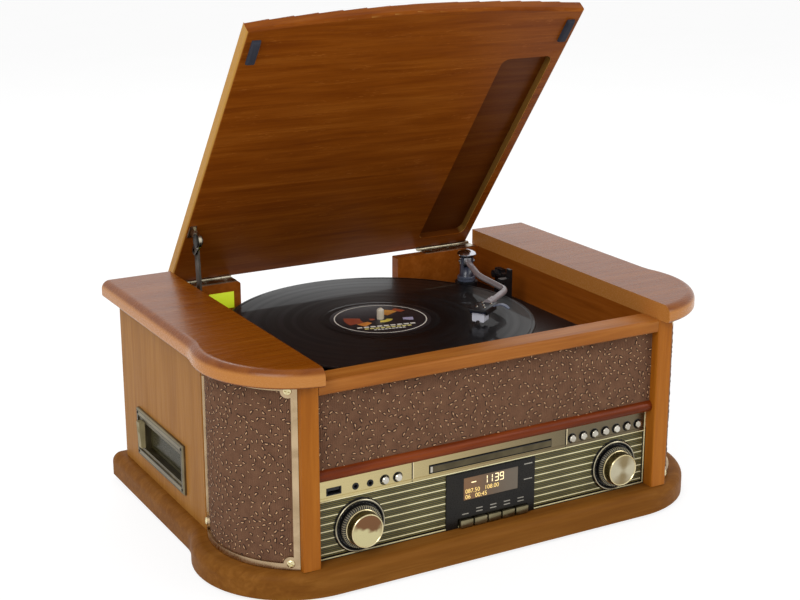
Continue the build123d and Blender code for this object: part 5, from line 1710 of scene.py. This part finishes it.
@dataclass
class ControlPanel:
    """Metal front: gold bars, dials, display, captions, button rings and jack rims."""

    dials: Pair = (-133.4, 139.0)
    bar_low: float = 32.0
    bar_pitch: float = 6.95
    bar_count: int = 7
    half: float = 175.7
    left_bars: Pair = (-175.2, -46.3)
    right_bars: Pair = (49.3, 172.6)
    sheet_y: float = 12.9
    field_y: float = 11.9
    keys: tuple[float, ...] = (-25.7, -10.8, 4.1, 19.0, 33.9)
    button_z: float = 88.9
    buttons: tuple[float, ...] = (-108.0, -95.0, 90.3, 103.0, 115.7, 128.4, 141.1, 153.8, 166.5)
    jacks: tuple[float, ...] = (-136.6, -122.3)
    usb: tuple[float, float, float] = (-157.5, 6.6, 2.9)
    usb_edge: float = 0.6
    top: float = 101.0
    dividers: Pair = (-80.9, 83.0)

    def ladders(self) -> None:
        """Bright bars and the thin lines between them, on both sides of the display."""
        for side, (low, high) in (("left", self.left_bars), ("right", self.right_bars)):
            middle, width, fine = (low + high) / 2, high - low, self.bar_pitch / 4
            for name, count, pitch, thick, tall, start, finish in (
                ("bars", self.bar_count, self.bar_pitch, 0.3, 1.0, self.bar_low, BAR_CREAM),
                ("lines", self.bar_count * 4 + 2, fine, 0.14, 0.6, self.bar_low - 2 * fine, LINE_OLIVE),
            ):
                place = (middle, self.sheet_y - (0.1 if finish is BAR_CREAM else 0.04), start)
                made = bars(f"panel_{name}_{side}", count, (0, 0, pitch), (width, thick, tall), place, finish)
                settle(made, "cabinet", ())

    def trims(self) -> None:
        """Border lines, rings round the buttons and jacks, and the frame of the USB slot."""
        border = Shape("panel_border")
        half, y, top = self.half, self.sheet_y, self.top
        for left, right, low, high, rise, finish, soft in (
            (-half, half, 80.15, 81.1, 0.55, BAR_CREAM, 0.15),
            (-half, half, 27.0, 28.0, 0.55, BAR_CREAM, 0.15),
            (half - 1.2, half - 0.2, 28.0, top, 0.6, BAR_CREAM, 0.15),
            (-half, half, 79.3, 80.05, 0.2, FIELD_BLACK, 0.0),
            (-half, half - 1.3, 28.1, 29.6, 0.2, FIELD_BLACK, 0.0),
            *((x, x + 0.75, 81.2, top, 0.2, FIELD_BLACK, 0.0) for x in self.dividers),
        ):
            border.block((left, y - rise, low), (right, y - 0.01, high), finish, soft)
        border.piece("cabinet", slot="panel_metal")
        button = [(4.2, -0.1), (4.2, 0.22), (4.5, 0.3), (4.85, 0.05), (4.85, -0.1)]
        jack = [(2.75, -0.4), (2.75, 0.1), (2.95, 0.32), (3.2, 0.2), (3.3, -0.1)]
        for name, xs, ring in (("button_rings", self.buttons, button), ("jack_rims", self.jacks, jack)):
            unit = Shape(f"{name}_unit").lathe(ring, BLACK_PLASTIC, steps=32, ring=True).mesh(place=TO_METRES)
            spots = points(name, [(x, y, self.button_z) for x in xs], [(0, -1, 0)] * len(xs))
            settle(set_on_points(name, unit, BLACK_PLASTIC, spots), "cabinet")
        usb = Shape("usb_frame")
        (x, half_x, half_z), z, edge = self.usb, self.button_z, self.usb_edge
        for left, right, low, high in border_of(half_x + edge, half_z + edge, edge):
            usb.block((x + left, y - 0.25, z + low), (x + right, y - 0.01, z + high), BLACK_PLASTIC)
        usb.piece("cabinet")

    def captions(self) -> None:
        """Plain dashes in place of the printed words."""
        dashes = [(x - 3.4, x + 3.4, z) for x in self.keys for z in (41.4, 38.3)][1:]
        dashes += [(37.0, 46.0, z) for z in (73.6, 58.6)]
        print_marks = Shape("caption_dashes")
        for left, right, z in dashes:
            print_marks.block((left, self.field_y - 0.05, z), (right, self.field_y + 0.02, z + 0.9), CAPTION)
        print_marks.piece("cabinet", slot="display_black")

    def build(self) -> None:
        """Dress the panel and add its parts."""
        dress(PanelSheet("panel_sheet"), "control_panel")
        dress(DIAL_BLACK, "dial_plates")
        dress(FIELD_BLACK, "display_field")
        for i, x in enumerate(self.keys, 1):
            key = Shape(f"key_cap_{i}")
            key.block((x - 6.75, 8.3, 26.9), (x + 6.75, 13.6, 34.3), KEY_METAL, 0.7)
            key.block((x - 6.2, 13.0, 27.4), (x + 6.2, 14.4, 33.8), KEY_METAL)
            key.piece(f"key_{i}", (f"key_{i}",), "key_metal")
        dress(BUTTON_SILVER, "left_button_1", "left_button_2", *[f"right_button_{i}" for i in range(1, 8)])
        self.ladders()
        self.trims()
        self.captions()
        Display().build()
        # The caps' painted reflections: one lobe on the volume cap, two on the tuning cap.
        looks = (
            {"reflection_fans": 1, "lean": math.pi / 2 + 0.25},
            {
                "reflection_fans": 2,
                "lean": 0.1,
                "pale": srgb(0xB8B096),
                "dark": srgb(0x887858),
                "edges": (-0.2, 0.6),
            },
        )
        for name, x, look in zip(("volume", "tuning"), self.dials, looks):
            dial = Dial(name, x, SpunMetalPaintedReflection(f"{name}_cap", (x * MM, Dial.z * MM), **look))
            dial.rim()
            dial.knob()


@dataclass
class DiscDrawer:
    """Disc tray with its bright left end."""

    middle: Pair = (2.0, 88.9)
    bar: Pair = (129.3, 6.9)
    front: float = 12.1

    def build(self) -> None:
        """Dress the tray and its drive and add the bright end."""
        dress(DECK_BLACK, "cd_tray")
        dress(BLACK_PLASTIC, "cd_mechanism")
        x, z, y = self.middle[0] - self.bar[0] / 2, self.middle[1], self.front
        tip = Shape("tray_end")
        half, end = self.bar[1] / 2 - 0.7, x + self.bar[0] - 0.4
        tip.block((x + 2.7, y - 0.1, z - half), (end, y + 0.04, z + half), BAR_GREY)
        tip.block((x + 0.3, y - 0.12, z - half), (x + 2.6, y + 0.1, z + half), BUTTON_SILVER, 0.08)
        tip.piece("cd_tray", slot="tray_grey")


# ---- Cassette slot ---------------------------------------
@dataclass
class CassetteSlot:
    """Pewter frame with its groove lines, smoked flap and ivory eject key."""

    outer: float = -234.6
    middle: Pair = (225.1, 67.0)
    frame: Pair = (119.7, 48.5)
    step: Pair = (110.1, 34.4)
    flap: tuple[float, float, float] = (-227.2, 173.8, 266.5)
    rib_gap: float = 2.4

    def outline(self, shape: Shape, half_y: float, half_z: float, width: float, front: float) -> None:
        """Add a thin dark rectangle round the slot.

        Args:
            shape: what it is added to.
            half_y: half of its outer length.
            half_z: half of its outer height.
            width: of its line.
            front: its x.
        """
        y, z = self.middle
        for back, ahead, low, high in border_of(half_y, half_z, width):
            shape.block((front - 0.05, y + back, z + low), (front + 0.03, y + ahead, z + high), DARK_SCREW)

    def build(self) -> None:
        """Dress the slot and add its lines."""
        dress(PEWTER, "cassette_bezel")
        dress(IVORY, "cassette_key")
        dress(Smoke("flap_smoke"), "cassette_flap")
        dress(BLACK_PLASTIC, "cassette_deck")
        lines = Shape("bezel_lines")
        for (length, tall), out_y, out_z, width, depth in (
            (self.frame, -1.7, -1.7, 0.5, 0.0),
            (self.step, 0.9, 0.9, 0.8, 0.0),
            (self.step, -2.4, -2.2, 0.5, 1.2),
        ):
            self.outline(lines, length / 2 + out_y, tall / 2 + out_z, width, self.outer + depth)
        lines.piece("cabinet", slot="bezel_metal")
        x, front, back = self.flap
        count = int((back - front - 4) / self.rib_gap)
        place = (x - 0.08, front + 3, 66.0)
        ribs = bars("flap_ribs", count, (0, self.rib_gap, 0), (0.2, 0.5, 20.5), place, SMOKE_RIB)
        settle(ribs, "cassette_flap", ())
        place = (self.outer - 3.25, 272.6, 70.4)
        ridges = bars("eject_ridges", 4, (0, 0, 1.6), (0.5, 5.4, 0.7), place, IVORY)
        settle(ridges, "cassette_key", ())


# ---- Record player ---------------------------------------
@dataclass
class Turntable:
    """Record with a made-up label, spindle, deck and drive."""

    centre: Pair = (-16.3, 186.7)
    record_top: float = 174.1
    label_radius: float = 49.5
    print_height: float = 0.14
    ink: float = 0.03

    def at(self, height: float, turn: float = 0.0) -> Matrix:
        """Place on the record's axis, above its top face and turned by degrees."""
        spot = Matrix.Translation((*self.centre, self.record_top + height))
        return spot @ Matrix.Rotation(math.radians(turn), 4, "Z")

    def sector(
        self, shape: Shape, inner: float, outer: float, start: float, end: float, finish: Finish
    ) -> None:
        """Add a printed patch of the label between two radii and two bearings.

        Args:
            shape: what it is added to.
            inner: radius in millimetres.
            outer: radius in millimetres.
            start: bearing in degrees.
            end: bearing in degrees.
            finish: its colour.
        """
        steps = 14
        turns = [math.radians(start + (end - start) * i / steps) for i in range(steps + 1)]
        outline = [polar(outer, turn) for turn in turns] + [polar(inner, turn) for turn in reversed(turns)]
        shape.prism(outline, self.ink, finish, self.at(self.print_height))

    def dashes(self, shape: Shape, low: float, high: float, half: float, finish: Finish) -> None:
        """Add one row of printed dashes to the label.

        Args:
            shape: what it is added to.
            low: lower edge of the row.
            high: its upper edge.
            half: half of its length.
            finish: its colour.
        """
        cells, filled = 9, 1.5
        for i in range(cells):
            left = -half + 2 * half * i / cells
            right = left + filled * half / cells
            outline = [(left, low), (right, low), (right, high), (left, high)]
            shape.prism(outline, self.ink, finish, self.at(self.print_height, -12))

    def label(self) -> None:
        """A dark label with a pale ring and warm plain shapes."""
        label = Shape("record_label")
        r = self.label_radius
        disc = [(3.8, 0.02), (r, 0.02), (r, 0.1), (r - 0.2, 0.14), (3.8, 0.14)]
        label.lathe(disc, LABEL_DARK, self.at(0), 96, ring=True)
        pale = [(44.3, 0.13), (45.4, 0.13), (45.4, 0.17), (44.3, 0.17)]
        label.lathe(pale, LABEL_PALE, self.at(0), 96, ring=True)
        for patch in (
            (20, 36, 150, 188, LABEL_RUST),
            (16, 29, 190, 212, LABEL_AMBER),
            (13, 30, 28, 66, LABEL_OCHRE),
            (30, 37, 20, 40, LABEL_RUST),
            (6, 12, 240, 330, LABEL_YELLOW),
            (6, 11, 150, 185, LABEL_RUST),
            (22, 32, 325, 342, LABEL_LILAC),
        ):
            self.sector(label, *patch)
        for row in (
            (-24.5, -21.0, 30.0, LABEL_PALE),
            (-29.5, -26.5, 24.0, LABEL_STRAW),
            (-34.0, -31.5, 16.0, LABEL_PALE),
        ):
            self.dashes(label, *row)
        label.piece("platter", slot="vinyl_black")

    def build(self) -> None:
        """Dress the record player and add the label and the spindle's sleeve."""
        dress(Vinyl("record_vinyl"), "record")
        dress(DECK_BLACK, "turntable_deck", "platter", "cue_lever", "speed_switch")
        dress(STEEL, "turntable_motor")
        dress(BRASS, "motor_pulley")
        dress(RUBBER, "drive_belt")
        self.label()
        sleeve = [(0, 0.15), (3.56, 0.15), (3.56, 8.8), (3.3, 9.4), (1.3, 11.08), (0, 11.1)]
        spindle = Shape("spindle_sleeve").lathe(sleeve, SPINDLE_IVORY, self.at(0), 40)
        spindle.piece("platter", slot="platter_black")


@dataclass
class Tonearm:
    """Arm tube, head shell with its lift, cartridge and the dressed pivot."""

    centre: Pair = (-16.3, 186.7)
    record_top: float = 174.1
    pivot: Point = (153.3, 88.4, 17.6)
    bend: Point = (135.0, 34.4, 16.4)
    elbow: Point = (130.0, -23.7, 16.8)
    head: Point = (76.0, -60.5, 14.0)
    radius: float = 3.1
    pivot_radius: float = 7.2
    bend_reach: float = 9.0
    bend_steps: int = 8

    def spot(self, point: Point) -> Vector:
        """A point, given from the platter's axis and the record's top, in the drawing's millimetres."""
        return Vector((self.centre[0] + point[0], self.centre[1] + point[1], self.record_top + point[2]))

    def line(self) -> list[Vector]:
        """Round both bends of the tube's middle line.

        Returns:
            The line's points in the drawing's millimetres.
        """
        start, bend, elbow, head = (self.spot(p) for p in (self.pivot, self.bend, self.elbow, self.head))
        neck = head - (head - elbow).normalized() * 22
        line = [start]
        for before, corner, after in ((start, bend, elbow), (bend, elbow, neck)):
            low = corner + (before - corner).normalized() * self.bend_reach
            high = corner + (after - corner).normalized() * self.bend_reach
            for t in (i / self.bend_steps for i in range(self.bend_steps + 1)):
                line.append(low.lerp(corner, t).lerp(corner.lerp(high, t), t))
        return [*line, neck]

    def head_place(self) -> Matrix:
        """Find the head shell's own axes, X along it to its front.

        Returns:
            From the shell's own millimetres to the drawing's.
        """
        head, elbow = self.spot(self.head), self.spot(self.elbow)
        heading = math.atan2(head.y - elbow.y, head.x - elbow.x)
        return Matrix.Translation(head) @ Matrix.Rotation(heading, 4, "Z")

    def pivot_place(self) -> Matrix:
        """Millimetres of the pivot, Y along the tube's first stretch, turned to the drawing's."""
        heading = -math.atan2(self.pivot[0] - self.bend[0], self.pivot[1] - self.bend[1])
        return Matrix.Translation(self.spot(self.pivot)) @ Matrix.Rotation(heading, 4, "Z")

    def arm(self) -> None:
        """Tube, pivot block, neck socket, head shell, finger lift and the small parts on the shell."""
        arm = Shape("tonearm_tube")
        arm.tube(self.line(), self.radius, ARM_GREY, 28)
        arm.block((-4.0, -5, -4), (4.0, 4, 4), STEEL, 0.4, self.pivot_place())
        across = self.pivot_place() @ Matrix.Rotation(math.pi / 2, 4, "Y")
        arm.lathe([(0, -8.4), (1.5, -8.4), (1.5, 8.4), (0, 8.4)], STEEL, across, 20)
        along = self.head_place() @ Matrix.Translation((0, 0, 1.2)) @ Matrix.Rotation(math.pi / 2, 4, "Y")
        socket = [(0, -32), (3.7, -32), (4.2, -31.4), (4.2, -24.5), (3.8, -24.1), (3.8, -23.3), (4.2, -22.9)]
        socket += [(4.2, -18), (0, -18)]
        arm.lathe(socket, ARM_GREY, along, 28)
        shell = [(-24, -6), (-21.5, -9), (6.5, -9), (9, -6.5), (9, 6.5), (6.5, 9), (-21.5, 9), (-24, 6)]
        arm.prism(shell, 2.2, DECK_BLACK, self.head_place(), 0.5)
        for side in (-1, 1):
            low, high = sorted((side * 7.4, side * 9.0))
            arm.block((-20, low, -4), (4, high, 0.4), DECK_BLACK, 0.3, self.head_place())
        for x, y in ((-16, -4.5), (-16, 4.5), (-8, 0), (-1, -4.0), (-1, 4.0)):
            spot = self.head_place() @ Matrix.Translation((x, y, 2.1))
            arm.lathe([(0, 0), (1.3, 0), (1.3, 0.5), (0.8, 0.9), (0, 1.0)], BUTTON_SILVER, spot, 16)
        lift = [(-13.5, 8.5, 1.0), (-13.5, 12.5, 3.0), (-13, 17, 4.0), (-12, 21.5, 3.4), (-11, 25.5, 1.2)]
        sections = [[(-w, -0.6), (w, -0.6), (w, 0.6), (-w, 0.6)] for w in (2.3, 2.3, 2.3, 2.1, 1.2)]
        arm.sweep([Vector(point) for point in lift], sections, LIFT_GREY, self.head_place())
        arm.piece("tonearm", ("tonearm",), "arm_silver")

    def cartridge(self) -> None:
        """White body with a notched foot, blue-black top and the stylus."""
        drop = self.head[2] - 1.9
        body = Shape("cartridge_body")
        foot = 0.9 - drop
        notch = [(-6.3, 0.9), (-5.4, 0), (-2.2, 0), (-1.4, 1.5), (1.4, 1.5), (2.2, 0), (5.4, 0), (6.3, 0.9)]
        side = [*((x, foot + y) for x, y in notch), (6.3, -1.9), (-6.3, -1.9)]
        backwards = Matrix(((0, 0, -1, 0), (1, 0, 0, 0), (0, 1, 0, 0), (0, 0, 0, 1)))
        place = self.head_place() @ Matrix.Translation((4.4, 0, 0)) @ backwards
        body.prism(side, 11.0, WHITE_SHELL, place)
        body.block((-13.0, -7.2, -2.1), (6.4, 7.2, -0.1), BLUE_SHELL, 0.5, self.head_place())
        body.block((-13.0, -5.4, -6.0), (-6.5, 5.4, -2.0), BLUE_SHELL, 0.5, self.head_place())
        stylus = [(0, -drop), (0.3, -drop), (1.1, 2.9 - drop), (0, 2.9 - drop)]
        body.lathe(stylus, STEEL, self.head_place(), 16)
        body.piece("tonearm", ("cartridge",), "cartridge_white")

    def pivot_parts(self) -> None:
        """Slotted post on its stepped foot, with a chrome cap and bright bearing dots."""
        top = 7.2
        at = Matrix.Translation(self.spot(self.pivot))
        r = self.pivot_radius
        column = [(0, -16.2), (r + 0.6, -16.2), (r + 0.4, -15.4), (r, -14.8), (r, top), (0, top)]
        post = Shape("pivot_post").lathe(column, PIVOT_BODY, at, 64).mesh(place=Matrix())
        slot = Shape("slot").block((-4.5, -20, -6.5), (4.5, 5.4, 6.5), PIVOT_BODY, place=self.pivot_place())
        carve(post, slot.mesh(place=Matrix()))
        settle(moved(post, TO_FRAME), "tonearm_pivot", ("tonearm_pivot",))
        foot = Shape("pivot_foot")
        rings = [(0, -43.5), (4.0, -43.5), (4.0, -21.2), (9.7, -21.2), (9.7, -19.2), (9.3, -18.9)]
        rings += [(9.3, -18.4), (9.7, -18.1), (9.7, -16.8), (9.2, -16.1), (0, -16.1)]
        foot.lathe(rings, PIVOT_FOOT, at, 64)
        foot.piece("tonearm_pivot", slot="arm_base_dark")
        cap = Shape("pivot_cap")
        cap.lathe([(0, 5.4), (r + 1.2, 5.4), (r + 1.2, 7.15), (0, 7.15)], BLACK_PLASTIC, at, 48)
        dome = [(0, -0.1), (10.1, -0.1), (10.5, 0.2), (10.5, 1.1), (9.0, 3.0), (5.46, 4.4), (0, 4.9)]
        cap.lathe([(radius, top + up) for radius, up in dome], CHROME, at, 64)
        for height in (-2.2, 2.6):
            side = self.pivot_place() @ Matrix.Translation((0.2 - r, -0.5, height))
            outward = side @ Matrix.Rotation(-math.pi / 2, 4, "Y")
            cap.lathe([(0, 0), (1.5, 0), (1.5, 0.5), (0.9, 0.9), (0, 1.0)], BUTTON_SILVER, outward, 16)
        cap.piece("tonearm_pivot", slot="arm_base_dark")

    def build(self) -> None:
        """Make the arm and its pivot."""
        self.arm()
        self.cartridge()
        self.pivot_parts()


# ---- Lid -------------------------------------------------
@dataclass
class Lid:
    """Open lid with its felt pads, hinges and stay."""

    pad_x: Pair = (159.2, 167.2)
    pad_y: Pair = (4.0, 31.0)
    pad_z: Pair = (194.0, 197.7)
    hinge_half: float = 174.2
    hinge_width: float = 63.4
    disc: tuple[float, float, float] = (-167.8, 254.7, 185.5)

    def pad(self, side: int) -> None:
        """One felt pad: a closed form with rounded edges and a crowned face.

        Args:
            side: -1 for the left one, 1 for the right one.
        """
        name = f"lid_pad_{'left' if side < 0 else 'right'}"
        low_x, high_x = sorted(side * x for x in self.pad_x)
        part, grid = bmesh.new(), {}
        columns, rows = 12, 28
        height = self.pad_z[1] - self.pad_z[0]
        for i in range(columns + 1):
            for j in range(rows + 1):
                u, v = 2 * i / columns - 1, 2 * j / rows - 1
                crown = (1 - abs(u) ** 5) ** 0.45 * (1 - abs(v) ** 9) ** 0.45
                x = (low_x + high_x) / 2 + u * (high_x - low_x) / 2
                y = sum(self.pad_y) / 2 + v * (self.pad_y[1] - self.pad_y[0]) / 2
                grid[i, j, 0] = part.verts.new((x, y, self.pad_z[1]))
                edge = i in (0, columns) or j in (0, rows)
                drop = height * (0.45 if edge else 0.55 + 0.4 * crown + 0.03 * (1 - u * u) * (1 - v * v))
                grid[i, j, 1] = part.verts.new((x, y, self.pad_z[1] - drop))
        for i in range(columns):
            for j in range(rows):
                corners = ((i, j), (i + 1, j), (i + 1, j + 1), (i, j + 1))
                for k in (0, 1):
                    part.faces.new([grid[a, b, k] for a, b in corners])
        edge = [(i, 0) for i in range(columns)] + [(columns, j) for j in range(rows)]
        edge += [(i, rows) for i in range(columns, 0, -1)] + [(0, j) for j in range(rows, 0, -1)]
        for here, there in zip(edge, edge[1:] + edge[:1]):
            part.faces.new([grid[*here, 0], grid[*there, 0], grid[*there, 1], grid[*here, 1]])
        piece = Shape(name).join(part, FELT, lid_place()).piece("lid", ("lid_pads",), "felt", 80)

    def hinge_screws(self) -> None:
        """Screws in both leaves of both hinges."""
        starts = (-self.hinge_half + 0.3, self.hinge_half - 0.3 - self.hinge_width)
        xs = [start + share * self.hinge_width for start in starts for share in (0.15, 0.5, 0.85)]
        opened = TO_FRAME @ lid_place() @ TO_FRAME.inverted()
        for name, body, seat, way, seed, place in (
            ("hinge_screws", "cabinet", (322.0, 194.5), (0, 0, 1), 5, Matrix()),
            ("lid_hinge_screws", "lid", (336.3, 203.0), (0, 1, 0), 6, opened),
        ):
            spots = points(name, [(x, *seat) for x in xs], [way] * len(xs))
            made = set_on_points(name, Screws().head(1.9, 0.6), NICKEL, spots, seed, SCREW_SPIN)
            settle(moved(made, place), body, ())

    def build(self) -> None:
        """Dress the lid and add its parts."""
        dress(LID_WOOD, "lid_panel")
        dress(NICKEL, "lid_hinge_fittings", "cabinet_hinge_fittings")
        dress(STAY_GREY, "stay_arm", "stay_lever")
        for side in (-1, 1):
            self.pad(side)
        self.hinge_screws()
        x, y, z = self.disc
        cap = Shape("stay_cap")
        dome = [(0, 0.03), (6.9, 0.03), (6.9, 0.5), (6.2, 1.0), (3.0, 1.35), (0, 1.45)]
        outward = Matrix.Rotation(-math.pi / 2, 4, "Y")
        cap.lathe(dome, DARK_SCREW, lid_place() @ Matrix.Translation((x, y, z)) @ outward, 40)
        cap.piece("lid", slot="hinge_nickel")


# ---- Inside and back -------------------------------------
@dataclass
class Interior:
    """Speakers and circuit boards."""

    def build(self) -> None:
        """Dress them."""
        dress(PAPER_CONE, "speakers")
        dress(BOARD_GREEN, "circuit_boards")


@dataclass
class RearFittings:
    """Sockets, and the coloured rings of the phono pair."""

    phono: tuple[Point, Point] = ((60.0, 326.7, 71.1), (76.0, 326.7, 71.1))

    def build(self) -> None:
        """Dress the sockets and add the rings."""
        dress(BLACK_PLASTIC, "sockets")
        for name, place, finish in zip(("white", "red"), self.phono, (WHITE_SHELL, PHONO_RED)):
            at = Matrix.Translation(place) @ FACE_FRONT.inverted()
            profile = [(4.15, 1.2), (5.3, 1.2), (5.3, 1.5), (5.0, 1.9), (4.15, 1.9)]
            ring = Shape(f"phono_ring_{name}").lathe(profile, finish, at, 40, ring=True)
            ring.piece("cabinet", slot="socket_black")


def main() -> None:
    """Build every sub-assembly in order."""
    Studio().build()
    Cabinet().build()
    dress(TRIM, "grille_frames")
    ClothSheet("front_cloth", 352.6, 69.6, 111.9).build("cloth_panel", "moulding")
    bow = (151.5, 83.0, 85.15, math.radians((-60.70 + 25.28) / 2))
    for side, seed in (("left", 11), ("right", 27)):
        name, left = f"grille_cloth_{side}", side == "left"
        cloth = ClothSheet(name, 127.8, 164.3, 27.7, seed=seed, bow=bow, left=left)
        cloth.build("grille_cloths", "grille_frames")
    Screws().build()
    ControlPanel().build()
    DiscDrawer().build()
    CassetteSlot().build()
    Turntable().build()
    Tonearm().build()
    Lid().build()
    Interior().build()
    RearFittings().build()


if __name__ == "__main__":
    logging.basicConfig(level=logging.INFO, format="%(message)s")
    main()
